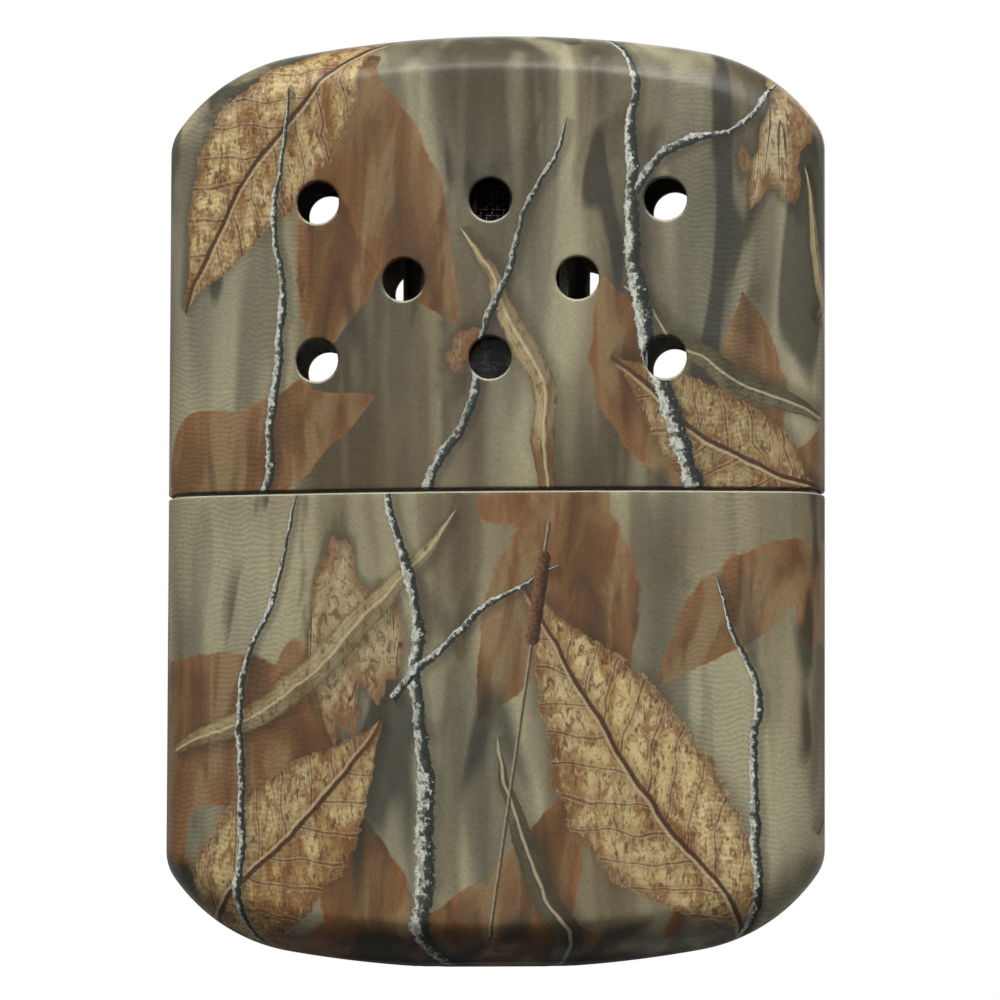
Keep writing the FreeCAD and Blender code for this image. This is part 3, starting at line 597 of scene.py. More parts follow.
def film(name, seed, rust_at, bark_at, dark_and_side_shade_at, lobes, stems, blades, leaves, heads):
    g = Graph(name)
    p, x, y, z = g.coords()
    off = (seed * 13.7, seed * 7.3, seed * 5.1)
    # drawn motifs: u runs across the front, round the right side and on over the back,
    # repeating there; the two ends of the film meet on the left side
    rear = g.m("GREATER_THAN", y, 0.0)
    round_side = g.m("MAXIMUM", 6.0 - g.m("ABSOLUTE", y), 0.0) * g.m("SIGN", x)
    run_x = g.m("MULTIPLY_ADD", round_side, 0.8, x)
    again = g.m("LESS_THAN", run_x, 2 * EDGE - (REPEAT - EDGE))
    rear_u = 2 * EDGE - run_x - again * REPEAT
    u = run_x + rear * (rear_u - run_x)
    whole = g.m("MAXIMUM", g.m("GREATER_THAN", x, 0.0), g.step(g.m("ABSOLUTE", y), 0.2, 2.4))

    def near(spots):
        total = None
        for cx, cz, ax, az_, gain in spots:
            dx, dz = (x - cx) * (1 / ax), (z - cz) * (1 / az_)
            hill = g.m("EXPONENT", -(dx * dx + dz * dz)) * gain
            total = hill if total is None else total + hill
        return total

    # soft upright bands of undergrowth, out of focus
    b1 = g.noise(g.stretch(p, (0.080, 0.080, 0.013), off), 1.0, 1.0, 0.45, 0.25)
    b2 = g.noise(g.stretch(p, (0.19, 0.19, 0.024), off), 1.0, 1.0, 0.5, 0.25)
    b3 = g.noise(g.stretch(p, (0.036, 0.036, 0.028), off), 1.0, 1.5, 0.5, 0.0)
    b4 = g.noise(g.stretch(p, (0.42, 0.42, 0.050), (off[1], off[2], off[0])), 1.0, 1.0, 0.5, 0.3)
    ground = g.ramp(b1, [(0.25, lin(62, 54, 40)), (0.35, lin(90, 80, 59)), (0.43, lin(122, 113, 87)),
                         (0.51, lin(163, 156, 124)), (0.58, lin(157, 151, 122)), (0.66, lin(124, 118, 97)),
                         (0.76, lin(82, 75, 60))], "EASE")
    ground = g.mix(g.step(b2, 0.47, 0.62, 0.0, 0.60), ground, lin(80, 75, 62))
    ground = g.mix(g.step(b2, 0.45, 0.30, 0.0, 0.55), ground, lin(166, 158, 127))
    ground = g.mix(g.step(b4, 0.52, 0.70, 0.0, 0.26), ground, lin(72, 65, 50))
    ground = g.mix(g.step(b4, 0.46, 0.30, 0.0, 0.20), ground, lin(158, 150, 120))
    ground = g.mix(g.step(b3, 0.50, 0.72, 0.0, 0.55), ground, lin(92, 73, 51))
    ground = g.mix(g.step(b3, 0.46, 0.32, 0.0, 0.42), ground, lin(98, 96, 84))
    def capsule(x0, z0, deg, length, w, soft):
        c, s = math.cos(math.radians(deg)), math.sin(math.radians(deg))
        dx, dz = u - x0, z - z0
        a = g.m("MULTIPLY_ADD", dx, c, dz * s)
        t = g.m("MULTIPLY_ADD", dz, c, dx * -s)
        over = g.m("MAXIMUM", g.m("ABSOLUTE", a - length / 2) - length / 2, 0.0)
        d = g.m("SQRT", g.m("MULTIPLY_ADD", over, over, t * t))
        return g.step(d, w, w - soft), t * (1 / w), a * (1 / length)

    hair = g.noise(p, 1.9, 3.0, 0.65)
    swell = g.noise(p, 0.42, 2.0, 0.5)
    sway = (g.noise(g.stretch(p, (0.16, 0.16, 0.16), off), 1.0, 2.0, 0.5) - 0.5) * 1.7

    def shapes(items, outline, ragged, rim, swelling, reach):
        """Lays curved tapering shapes over each other. Returns what a point of the topmost
        one needs: across (-1 to 1), distance from its middle line and along it in mm, 0 to 1
        along it, cover, shadow, hue."""
        got = None
        for x0, z0, deg, length, w, pale, spine in items:
            c, s = math.cos(math.radians(deg)), math.sin(math.radians(deg))
            dx, dz = u - x0, z - z0
            a = g.m("MULTIPLY_ADD", dx, c / length, dz * (s / length))
            line = g.curve(a, [(k / (len(spine) - 1), 0.5 + v / (2 * SWING)) for k, v in enumerate(spine)])
            t = g.m("MULTIPLY_ADD", dz, c, dx * -s) + sway
            t = t - g.m("MULTIPLY_ADD", line, 2 * SWING, -SWING)
            half = g.curve(a, outline) * w
            half = half * g.m("MULTIPLY_ADD", swell, swelling, 1.0 - swelling / 2) + 0.03
            r = t / half + (hair - 0.5) * ragged
            along = g.step(a, -0.004, 0.004) * g.step(a, 1.0, 0.992)
            size = g.m("ABSOLUTE", r)
            mask = g.step(size, 1.0 + rim, 1.0 - rim) * along * whole
            dark = g.step(g.m("ABSOLUTE", t + 0.4), half + reach, half * 0.8) * along * whole
            now = (r, t, a * length, a, pale)
            if got is None:
                got, cover, shadow = [mask * v for v in now], mask, dark
            else:
                got = [old + mask * (v - old) for old, v in zip(got, now)]
                cover = g.m("MAXIMUM", cover, mask)
                shadow = g.m("MAXIMUM", shadow, dark)
        return (*got, cover, shadow)

    # rust patches and the pointed lobes of far leaves, seen through a haze
    fine = g.noise(p, 0.75, 3.0, 0.6)
    rn = g.noise(g.stretch(p, (0.066, 0.066, 0.046), off), 1.0, 1.2, 0.40, 0.55)
    rf = rn + near(rust_at) + (fine - 0.5) * 0.006
    far = shapes(lobes, LOBE_OUTLINE, 0.10, 0.045, 0.30, 1.0)
    rust_in = g.m("MAXIMUM", g.step(rf, 0.640, 0.653), far[5])
    rf = g.m("MAXIMUM", rf, g.m("MULTIPLY_ADD", g.m("ABSOLUTE", far[0]), -0.22, 0.88) * far[5])
    streak = g.noise(g.stretch(p, (0.24, 0.24, 0.058), off), 1.0, 3.0, 0.55, 0.9)
    rust = g.ramp(g.line(rf, 0.64, 0.95), [(0.0, lin(138, 92, 55)), (0.07, lin(128, 86, 51)), (0.26, lin(120, 84, 51)),
                                           (0.55, lin(107, 74, 44)), (1.0, lin(94, 65, 39))])
    rust = g.mix(g.step(streak, 0.45, 0.62, 0.0, 0.78), rust, lin(142, 119, 84))
    rust = g.mix(g.step(streak, 0.46, 0.30, 0.0, 0.80), rust, lin(78, 52, 34))
    color = g.mix(rust_in * g.line(b2, 0.3, 0.7, 0.97, 0.86), ground, rust)
    # dark broad shapes far off in the print; the spots set on the narrow sides add painted shade that darkens those
    # sides
    dn = g.noise(g.stretch(p, (0.10, 0.10, 0.028), (off[1], off[2], off[0])), 1.0, 2.0, 0.5, 0.9)
    color = g.mix(g.step(dn + near(dark_and_side_shade_at), 0.610, 0.670, 0.0, 0.80), color, lin(52, 53, 46))

    grain = g.noise(g.stretch(p, (2.8, 2.8, 1.05)), 1.0, 3.0, 0.62)
    speck = g.noise(g.stretch(p, (0.95, 0.95, 0.60)), 1.0, 4.0, 0.70, 0.7)
    fleck = g.noise(g.stretch(p, (1.7, 1.7, 0.75), off), 1.0, 2.5, 0.65, 0.4)

    # bark and dry stubble: pale, speckled, split along its length
    bn = g.noise(g.stretch(p, (0.085, 0.085, 0.036), (off[2], off[0], off[1])), 1.0, 3.5, 0.55, 0.6)
    bf = bn + near(bark_at) + (fine - 0.5) * 0.045
    bark_in = g.step(bf, 0.700, 0.711)
    tone = g.noise(g.stretch(p, (0.17, 0.17, 0.060), off), 1.0, 3.0, 0.5, 1.4)
    bark = g.ramp(tone, [(0.28, lin(108, 78, 50)), (0.38, lin(140, 110, 74)), (0.47, lin(168, 149, 111)), (0.55, lin(177, 163, 126)),
                         (0.63, lin(154, 128, 88)), (0.74, lin(114, 82, 52))])
    bark = g.mix(g.step(speck, 0.46, 0.62, 0.0, 0.85), bark, lin(112, 77, 48))
    bark = g.mix(g.step(grain, 0.54, 0.70, 0.0, 0.60), bark, lin(86, 60, 40))
    bark = g.mix(g.step(grain, 0.44, 0.30, 0.0, 0.35), bark, lin(198, 186, 150))
    split = g.noise(g.stretch(p, (0.36, 0.36, 0.026), (off[1], off[0], off[2])), 1.0, 2.0, 0.5, 1.1)
    crack = g.m("ABSOLUTE", split - 0.5)
    bark = g.mix(g.step(crack, 0.013, 0.003, 0.0, 0.85), bark, lin(66, 45, 32))
    bark = g.mix(g.step(crack, 0.012, 0.020) * g.step(crack, 0.034, 0.021, 0.0, 0.40), bark, lin(202, 190, 156))
    bark = g.mix(g.step(bf, 0.775, 0.705, 0.0, 0.72), bark, lin(112, 74, 46))
    shade = g.step(bf, 0.630, 0.700) * g.step(bf, 0.711, 0.700)
    color = g.mix(shade * 0.55, color, lin(52, 43, 33))
    color = g.mix(bark_in, color, bark)

    # broad dry leaves: midrib, side veins, mottled blade, brown margin
    r, t, run, a, hue, cover, shadow = shapes(leaves, LEAF_OUTLINE, 0.26, 0.03, 0.34, 1.6)
    color = g.mix(shadow * 0.50, color, lin(48, 40, 30))
    wander = (g.noise(p, 0.20, 2.0, 0.45) - 0.5) * 3.0
    side = g.m("GREATER_THAN", t, 0.0)
    rib = g.m("FRACT", (run - g.m("ABSOLUTE", t) * 0.85 + side * 1.7 + wander) * (1 / 3.9))
    rib = g.m("ABSOLUTE", rib - 0.5) * 3.9
    near_mid = g.m("ABSOLUTE", t)
    dry = g.ramp(tone, [(0.30, lin(126, 88, 52)), (0.41, lin(176, 146, 94)), (0.48, lin(206, 186, 134)), (0.60, lin(198, 175, 122)),
                        (0.70, lin(142, 104, 62))])
    dry = g.mix(hue, g.mix(0.72, dry, lin(96, 86, 62)), dry)
    leaf = g.mix(side * 0.16, dry, lin(104, 78, 50))
    leaf = g.mix(g.step(rib, 1.5, 0.1, 0.0, 0.42), leaf, lin(124, 84, 50))
    leaf = g.mix(g.step(near_mid, 1.7, 0.2, 0.0, 0.50), leaf, lin(108, 72, 44))
    leaf = g.mix(g.step(g.m("ABSOLUTE", r), 0.74, 1.0, 0.0, 0.80), leaf, lin(98, 66, 42))
    leaf = g.mix(g.step(speck, 0.48, 0.62, 0.0, 0.76), leaf, lin(122, 80, 47))
    leaf = g.mix(g.step(grain, 0.55, 0.68, 0.0, 0.62), leaf, lin(104, 68, 42))
    leaf = g.mix(g.step(fleck, 0.55, 0.66, 0.0, 0.75), leaf, lin(88, 58, 38))
    leaf = g.mix(g.step(grain, 0.44, 0.30, 0.0, 0.42), leaf, lin(210, 196, 154))
    leaf = g.mix(g.step(rib, 0.17, 0.05, 0.0, 0.50), leaf, lin(84, 54, 35))
    leaf = g.mix(g.step(g.m("ABSOLUTE", rib - 0.26), 0.13, 0.03, 0.0, 0.20), leaf, lin(206, 194, 160))
    leaf = g.mix(g.step(near_mid, 0.30, 0.17, 0.0, 0.88), leaf, lin(64, 43, 30))
    leaf = g.mix(g.step(g.m("ABSOLUTE", t - 0.42), 0.22, 0.08, 0.0, 0.55), leaf, lin(196, 180, 142))
    leaf = g.mix(g.step(a, 0.80, 1.0, 0.0, 0.50), leaf, lin(104, 68, 42))
    color = g.mix(cover, color, leaf)

    # long narrow leaves, ribbed along their length, one half in the shade
    r, t, run, a, hue, cover, shadow = shapes(blades, BLADE_OUTLINE, 0.30, 0.05, 0.30, 1.3)
    color = g.mix(shadow * 0.45, color, lin(46, 40, 30))
    ribs = g.m("SINE", (r + (fine - 0.5) * 0.5) * 21.0)
    straw = g.ramp(tone, [(0.32, lin(120, 92, 58)), (0.46, lin(158, 138, 98)), (0.56, lin(172, 156, 118)), (0.70, lin(134, 106, 70))])
    olive = g.ramp(tone, [(0.32, lin(62, 62, 46)), (0.50, lin(92, 90, 68)), (0.62, lin(108, 104, 80)), (0.72, lin(76, 70, 50))])
    narrow = g.mix(hue, olive, straw)
    narrow = g.mix(g.step(r, 0.05, -0.12, 0.0, 0.42), narrow, lin(58, 48, 34))
    narrow = g.mix(1.0, narrow, g.grey(g.line(ribs, -1.0, 1.0, 0.88, 1.10)), "MULTIPLY")
    narrow = g.mix(g.step(fleck, 0.54, 0.66, 0.0, 0.60), narrow, lin(84, 58, 38))
    narrow = g.mix(g.step(g.m("ABSOLUTE", r), 0.72, 1.0, 0.0, 0.60), narrow, lin(82, 58, 38))
    narrow = g.mix(g.step(g.m("ABSOLUTE", t), 0.20, 0.08, 0.0, 0.60), narrow, lin(196, 184, 148))
    color = g.mix(cover, color, narrow)

    # frosted reeds
    r, t, run, a, hue, cover, shadow = shapes(stems, STEM_OUTLINE, 1.5, 0.16, 0.9, 0.8)
    color = g.mix(shadow * 0.42, color, lin(50, 47, 38))
    frost = g.step(r + (hair - 0.5) * 2.6 + (swell - 0.5) * 1.6, -0.06, 0.52) * g.line(hue, 0.0, 1.0, 0.34, 1.0)
    body = g.ramp(g.m("MULTIPLY_ADD", r, 0.5, 0.5), [(0.05, lin(36, 42, 38)), (0.35, lin(50, 58, 52)), (0.62, lin(82, 88, 78)),
                                                      (0.90, lin(124, 124, 108))])
    body = g.mix(g.step(fleck, 0.52, 0.64, 0.0, 0.60), body, lin(48, 46, 40))
    rime = g.mix(g.step(grain, 0.42, 0.62), lin(212, 211, 199), lin(160, 162, 150))
    body = g.mix(frost * 0.92, body, rime)
    joint = g.m("ABSOLUTE", g.m("FRACT", run * (1 / 8.7) + 0.3) - 0.5) * 8.7
    body = g.mix(g.step(joint, 0.34, 0.12, 0.0, 0.75), body, lin(58, 48, 38))
    color = g.mix(cover, color, body)

    # seed heads on thin stems
    plush = g.noise(p, 2.6, 3.0, 0.65)
    for x0, z0, deg, length, w, stem in heads:
        c, s = math.cos(math.radians(deg)), math.sin(math.radians(deg))
        stalk, ts, tb = capsule(x0 - stem * c, z0 - stem * s, deg, stem + length + 3.6, 0.27, 0.14)
        d, th, ah = capsule(x0, z0, deg, length, w, 1.0)
        mask = g.step(d * 1.5 + (plush - 0.5) * 1.2, 0.34, 0.60) * whole
        color = g.mix(stalk * 0.92, color, g.mix(g.step(ts + (hair - 0.5), -0.2, 0.5), lin(70, 64, 48), lin(158, 148, 118)))
        fuzz = g.ramp(g.m("MULTIPLY_ADD", th, 0.5, 0.5) + (plush - 0.5) * 0.9,
                      [(0.05, lin(40, 28, 20)), (0.36, lin(66, 44, 30)), (0.60, lin(98, 68, 46)), (0.80, lin(128, 94, 64)), (0.98, lin(80, 56, 38))])
        color = g.mix(mask, color, fuzz)

    # print grain, and the fine contour ripples towards the sides
    dots = g.noise(p, 3.1, 2.0, 0.7)
    color = g.mix(1.0, color, g.grey(g.line(dots, 0.25, 0.75, 0.84, 1.16)), "MULTIPLY")
    drift = g.noise(g.stretch(p, (0.30, 0.30, 0.11), off), 1.0, 2.5, 0.5) * 5.5
    wave = g.m("SINE", (z + drift * 0.55) * (2 * math.pi / 0.56) + g.m("SINE", x * 1.15) * 0.9)
    where = g.step(g.m("ABSOLUTE", x), 13.0, 24.0) * g.step(g.noise(g.stretch(p, (0.09, 0.09, 0.035), (3, 9, 1)), 1.0, 1.0, 0.5), 0.34, 0.52)
    color = g.mix(where, color, g.mix(1.0, color, g.grey(g.line(wave, -1.0, 1.0, 0.88, 1.11)), "MULTIPLY"))

    # worn lips and rims, plus painted highlight: the lower half of each vent lip and the tank's rim are made paler
    wear_and_highlight = g.attribute("wear_and_highlight")
    chip = g.noise(p, 2.2, 3.0, 0.6)
    bare = g.step(wear_and_highlight * 0.72 + chip * 0.5, 0.62, 0.92)
    color = g.mix(bare * 0.80, color, lin(178, 172, 150))

    peel = g.noise(p, 1.3, 2.0, 0.5)
    micro = g.noise(p, 6.0, 2.0, 0.6)
    n = g.bump(peel, 0.00005, 0.40)
    n = g.bump(micro, 0.000012, 0.35, n)
    rough = g.line(g.noise(p, 0.22, 3.0, 0.55), 0.3, 0.7, 0.40, 0.50)
    return g.surface(color, rough, 0.0, n, Specular_IOR_Level=0.36)


def steel(name, tint, rough_lo, rough_hi, lines=(0.5, 0.5, 0.06), line_depth=0.000006, scuff=0.5, stain=None):
    """Bare or plated sheet: draw lines along the working direction, scuffs, faint stains."""
    g = Graph(name)
    p, x, y, z = g.coords()
    draw = g.noise(g.stretch(p, tuple(14 * v for v in lines)), 1.0, 3.0, 0.65)
    cloud = g.noise(p, 0.22, 4.0, 0.6, 0.5)
    scr = g.cells(g.stretch(p, (0.5, 0.5, 1.7)), 1.0, "DISTANCE_TO_EDGE")
    mark = g.step(scr, 0.022, 0.004) * g.step(g.noise(p, 0.35, 2.0), 0.45, 0.62)
    tinted = g.mix(g.step(cloud, 0.38, 0.66), tint, tuple(c * 0.78 for c in tint[:3]) + (1,))
    if stain is not None:
        tinted = stain(g, p, x, y, z, tinted)
    tinted = g.mix(mark * 0.35 * scuff, tinted, lin(235, 233, 228))
    rough = g.line(cloud + (draw - 0.5) * 0.35, 0.3, 0.72, rough_lo, rough_hi) + mark * 0.12 * scuff
    n = g.bump(draw, line_depth, 0.6)
    n = g.bump(cloud, 0.00003, 0.25, n)
    return g.surface(tinted, rough, 1.0, n)


def heat(g, p, x, y, z, base):
    """Temper colours where the catalyst heats the plating."""
    t = g.noise(g.stretch(p, (0.16, 0.16, 0.10)), 1.0, 3.0, 0.5, 0.6)
    hot = g.line(z, 64.0, 81.0) * 0.75 + (t - 0.5) * 0.9
    c = g.ramp(hot, [(0.10, lin(226, 224, 220)), (0.34, lin(224, 206, 168)), (0.52, lin(190, 150, 108)), (0.66, lin(140, 108, 118)),
                     (0.80, lin(110, 116, 140)), (0.95, lin(126, 124, 120))])
    return g.mix(0.78, base, c)


def soot(g, p, x, y, z, base):
    t = g.noise(p, 0.5, 4.0, 0.6)
    return g.mix(g.step(t, 0.46, 0.70, 0.0, 0.6), base, lin(70, 64, 58))


def fibrous(name, light, dark, scale, sheen, rough=0.95, spots=None):
    """Matted fibres: three crossing directions of stretched noise, loose hairs, fluff."""
    g = Graph(name)
    p, x, y, z = g.coords()
    warp = g.noise(p, 0.5 * scale, 3.0, 0.6)
    w = (warp - 0.5) * 3.0
    f1 = g.noise(g.vec((x + w) * 7.0 * scale, y * 7.0 * scale, z * 0.8 * scale), 1.0, 3.0, 0.6)
    f2 = g.noise(g.vec((x + z * 0.8) * 1.1 * scale, y * 6.0 * scale, (z - x * 0.8 + w) * 6.5 * scale), 1.0, 3.0, 0.6)
    f3 = g.noise(g.vec((x - z * 1.1) * 1.0 * scale, y * 5.0 * scale, (z + x * 1.1 + w) * 6.0 * scale), 1.0, 3.0, 0.6)
    top = g.m("MAXIMUM", g.m("MAXIMUM", f1, f2), f3)
    lump = g.noise(p, 0.30 * scale, 4.0, 0.55)
    c = g.mix(g.step(top, 0.50, 0.72), dark, light)
    # painted shade: the dips of the lumpy bump are darkened towards the dark fibre colour
    c = g.mix(g.step(lump, 0.60, 0.36, 0.0, 0.45), c, dark)
    if spots is not None:
        c = g.mix(g.step(g.noise(p, 0.8 * scale, 2.0), 0.60, 0.72, 0.0, 0.6), c, spots)
    n = g.bump(lump, 0.0006, 0.5)
    n = g.bump(top, 0.00018, 0.9, n)
    return g.surface(c, rough, 0.0, n, Sheen_Weight=sheen, Sheen_Roughness=0.5, Specular_IOR_Level=0.25)



# ---------------------------------------------------------------------------
# Camera
# ---------------------------------------------------------------------------
AZ, EL, ROLL, DIST = math.radians(6.0), math.radians(-6.4), math.radians(0.20), 1.07
target = Vector((0.00042, 0.0, 0.04810))
back = Vector((math.sin(AZ) * math.cos(EL), -math.cos(AZ) * math.cos(EL), math.sin(EL)))
cam_data = bpy.data.cameras.new("camera")
cam_data.sensor_width = 36.0
cam_data.lens = 373.2
cam_data.clip_start, cam_data.clip_end = 0.01, 50
cam = bpy.data.objects.new("camera", cam_data)
scene.collection.objects.link(cam)
cam.rotation_mode = "QUATERNION"
cam.location = target + back * DIST
cam.rotation_quaternion = (-back).to_track_quat("-Z", "Y") @ Quaternion((0, 0, 1), ROLL)
scene.camera = cam

# ---------------------------------------------------------------------------
# Materials
# ---------------------------------------------------------------------------
lid_film = film(
    "lid_film", 1.0,
    rust_at=[(-12, 84, 8, 8, 0.20), (27, 51, 9, 6, 0.20), (-30, 49, 7, 6, 0.20), (6, 60, 16, 20, -0.10), (14, 91, 16, 6, -0.22), (2, 93, 14, 5, -0.14)],
    bark_at=[(26, 84, 9, 9, 0.30)],
    # both dark spots sit on the narrow sides: painted shade that darkens them
    dark_and_side_shade_at=[(34, 74, 5, 13, 0.16), (-33, 88, 6, 9, 0.12)],
    lobes=[(-14.0, 94.0, 262, 33, 5.6, 1.0, middle(71, 1.6, 0.2)), (-14.0, 93.0, 292, 30, 5.0, 1.0, middle(72, -1.8, 0.2)),
           (24.0, 47.0, 118, 27, 4.6, 1.0, middle(73, 1.8, 0.2)), (26.0, 47.0, 88, 22, 4.2, 1.0, middle(74, -1.4, 0.2)),
           (-33.0, 45.0, 32, 25, 4.8, 1.0, middle(75, 2.0, 0.2)), (50.0, 90.0, 262, 34, 5.6, 1.0, middle(76, -1.8, 0.2))],
    stems=[(22.5, 44, 98, 55, 1.05, 1.0, middle(11, 2.6, 0.7)), (-25.5, 44, 85, 47, 0.56, 0.95, middle(12, -2.0, 0.9)),
           (-5.0, 44, 73, 45, 0.54, 0.60, middle(13, 3.2, 0.8)), (15.2, 79.0, 34, 21, 0.50, 1.0, middle(14, 1.6, 0.6)),
           (44.5, 44, 94, 50, 0.62, 1.0, middle(16, 2.0, 0.8)),
           (53.5, 44, 91, 42, 0.50, 0.7, middle(17, -1.6, 0.9))],
    blades=[(6.0, 44, 106, 33, 1.25, 1.0, middle(21, -3.6, 0.4)), (37.0, 56, 150, 27, 1.35, 0.0, middle(22, 3.0, 0.4)),
            (50.0, 52, 118, 34, 1.4, 1.0, middle(23, 3.0, 0.4))],
    leaves=[(-9.0, 98.5, 232, 40, 6.6, 1.0, middle(31, -3.0, 0.3)), (39.0, 48.5, 153, 30, 5.2, 0.35, middle(32, 2.4, 0.3)),
            (54.5, 93, 236, 33, 5.8, 0.8, middle(33, 2.5, 0.3))],
    heads=[(49.0, 79.0, 95, 8.5, 1.05, 36)])

tank_film = film(
    "tank_film", 2.0,
    rust_at=[(-30, 24, 8, 8, 0.20), (7, 46, 9, 5, 0.22), (-2, 2, 20, 5, 0.27), (33, 38, 6, 7, 0.18), (4, 26, 18, 12, -0.10)],
    bark_at=[(-13, 34, 8, 8, 0.28)],
    # the first dark spot sits on the left narrow side, painted shade that darkens it; the second is print
    dark_and_side_shade_at=[(-34, 34, 4, 14, 0.16), (14, 12, 5, 10, 0.10)],
    lobes=[(8.0, 50.0, 250, 27, 5.2, 1.0, middle(81, 1.8, 0.2)), (9.0, 50.0, 282, 24, 4.8, 1.0, middle(82, -1.6, 0.2)),
           (-37.0, 30.0, 336, 26, 4.8, 1.0, middle(83, 1.8, 0.2)), (-3.0, -3.0, 62, 24, 4.6, 1.0, middle(84, -1.6, 0.2)),
           (-8.0, -4.0, 108, 22, 4.8, 1.0, middle(85, 1.4, 0.2)), (37.0, 42.0, 215, 24, 4.2, 1.0, middle(86, -1.8, 0.2))],
    stems=[(-8.5, -4, 93, 56, 1.00, 1.0, middle(41, -2.6, 0.8)), (-26.5, -4, 83, 55, 0.52, 0.95, middle(42, 2.2, 0.9)),
           (29.5, -4, 97, 44, 0.66, 0.9, middle(43, -2.0, 0.8)),
           (-10.0, 27.0, 38, 22, 0.42, 1.0, middle(45, 1.8, 0.6)), (42.0, -4, 88, 50, 0.62, 1.0, middle(46, 2.2, 0.8)),
           (54.0, -4, 95, 46, 0.50, 0.6, middle(47, -1.8, 0.9))],
    blades=[(-35.0, 22, 38, 40, 1.55, 0.9, middle(51, -4.0, 0.4)), (14.0, -4, 116, 30, 1.25, 0.0, middle(52, 3.0, 0.4)),
            (45.5, 2, 76, 36, 1.4, 1.0, middle(53, 3.0, 0.4))],
    leaves=[(33.5, -1.0, 127, 50, 7.8, 1.0, middle(61, 3.2, 0.3)), (-38.0, 1.5, 41, 36, 7.0, 0.85, middle(62, -2.6, 0.3)),
            (54.5, 44, 240, 36, 5.8, 0.8, middle(63, 2.5, 0.3))],
    heads=[(4.5, 33.0, 82, 8.5, 1.05, 38), (50.0, 30.0, 86, 8.5, 1.05, 34)])

sheet_inside = steel("sheet_inside", lin(150, 147, 140), 0.32, 0.5, (0.5, 0.5, 0.05), stain=soot)
insert_metal = steel("insert_metal", lin(204, 201, 194), 0.40, 0.54, (0.55, 0.55, 0.05), 0.000008, 0.9)
neck_metal = steel("neck_metal", lin(208, 205, 199), 0.30, 0.44, (0.5, 0.5, 0.04), 0.000006, 0.8)
screen_metal = steel("screen_metal", lin(168, 165, 158), 0.30, 0.46, (0.35, 0.35, 0.35), 0.000004, 0.3, stain=soot)
burner_metal = steel("burner_metal", lin(222, 221, 219), 0.14, 0.28, (0.45, 0.45, 0.05), 0.000003, 0.7, stain=heat)
skirt_metal = steel("skirt_metal", lin(224, 223, 221), 0.12, 0.26, (0.45, 0.45, 0.05), 0.000003, 0.9)
wire_metal = steel("wire_metal", lin(122, 116, 108), 0.28, 0.45, (0.6, 0.6, 0.6), 0.000003, 0.2, stain=soot)
bar_metal = steel("bar_metal", lin(132, 126, 118), 0.30, 0.46, (0.5, 0.5, 0.1), 0.000003, 0.3, stain=soot)
cotton_fluff = fibrous("cotton_fluff", lin(238, 235, 226), lin(196, 191, 178), 1.0, 0.45)
felt_cloth = fibrous("felt_cloth", lin(214, 209, 196), lin(166, 160, 146), 1.6, 0.35, spots=lin(188, 178, 150))
wool_grey = fibrous("wool_grey", lin(142, 138, 132), lin(70, 67, 63), 2.2, 0.20, spots=lin(46, 44, 42))

# ---------------------------------------------------------------------------
# Case shells
# ---------------------------------------------------------------------------
vents = [(-18, 78.5), (0, 78.5), (18, 78.5), (-9, 70.3), (9, 70.3), (-18, 62.1), (0, 62.1), (18, 62.1)]
V, F, T, B = make_cup(47.80, lambda e: H - e, rim_wear_and_highlight=0.15, holes=[(x, H - z) for x, z in vents])
lid = mesh_object("lid_print_shell", V, F, lid_film, attributes={"wear_and_highlight": T}, second=sheet_inside, index=B)
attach(lid, "lid")
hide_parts("lid_shell")

V, F, T, B = make_cup(48.6, lambda e: np.maximum(e - 0.3, 0.0))
tank = mesh_object("tank_print_shell", V, F, tank_film, attributes={"wear_and_highlight": T}, flip=True, second=sheet_inside, index=B)
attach(tank, "tank")
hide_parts("tank_shell")


# ---------------------------------------------------------------------------
# Gauze: woven wire round the catalyst
# ---------------------------------------------------------------------------
def oblong_ring(a, b, n):
    """n points and outward normals, evenly spaced along an oblong of half length a, half width b."""
    straight, arc = 2 * (a - b), math.pi * b
    total = 2 * (straight + arc)
    pts, nrm = [], []
    for k in range(n):
        s = total * (k + 0.5) / n
        if s < straight:
            pts.append((-(a - b) + s, -b)), nrm.append((0.0, -1.0))
        elif s < straight + arc:
            t = (s - straight) / b - math.pi / 2
            pts.append((a - b + b * math.cos(t), b * math.sin(t))), nrm.append((math.cos(t), math.sin(t)))
        elif s < 2 * straight + arc:
            pts.append((a - b - (s - straight - arc), b)), nrm.append((0.0, 1.0))
        else:
            t = (s - 2 * straight - arc) / b + math.pi / 2
            pts.append((-(a - b) + b * math.cos(t), b * math.sin(t))), nrm.append((math.cos(t), math.sin(t)))
    return np.array(pts), np.array(nrm)


def tube(path, radius, sides, closed, verts, faces):
    """Adds a swept wire to verts and faces."""
    path = np.asarray(path)
    n = len(path)
    if closed:
        tan = np.roll(path, -1, 0) - np.roll(path, 1, 0)
    else:
        tan = np.gradient(path, axis=0)
    tan /= np.linalg.norm(tan, axis=1)[:, None]
    up = np.array([0.0, 0.0, 1.0]) if abs(tan[0][2]) < 0.9 else np.array([1.0, 0.0, 0.0])
    base = len(verts)
    for k in range(n):
        s1 = np.cross(tan[k], up)
        s1 /= np.linalg.norm(s1)
        s2 = np.cross(tan[k], s1)
        for m in range(sides):
            t = 2 * math.pi * m / sides
            verts.append(path[k] + radius * (math.cos(t) * s1 + math.sin(t) * s2))
    last = n if closed else n - 1
    for k in range(last):
        for m in range(sides):
            a, b = base + k * sides + m, base + k * sides + (m + 1) % sides
            c = base + ((k + 1) % n) * sides
            faces.append((a, b, c + (m + 1) % sides, c + m))
    if not closed:
        faces.append(tuple(base + m for m in range(sides))[::-1])
        faces.append(tuple(base + (n - 1) * sides + m for m in range(sides)))


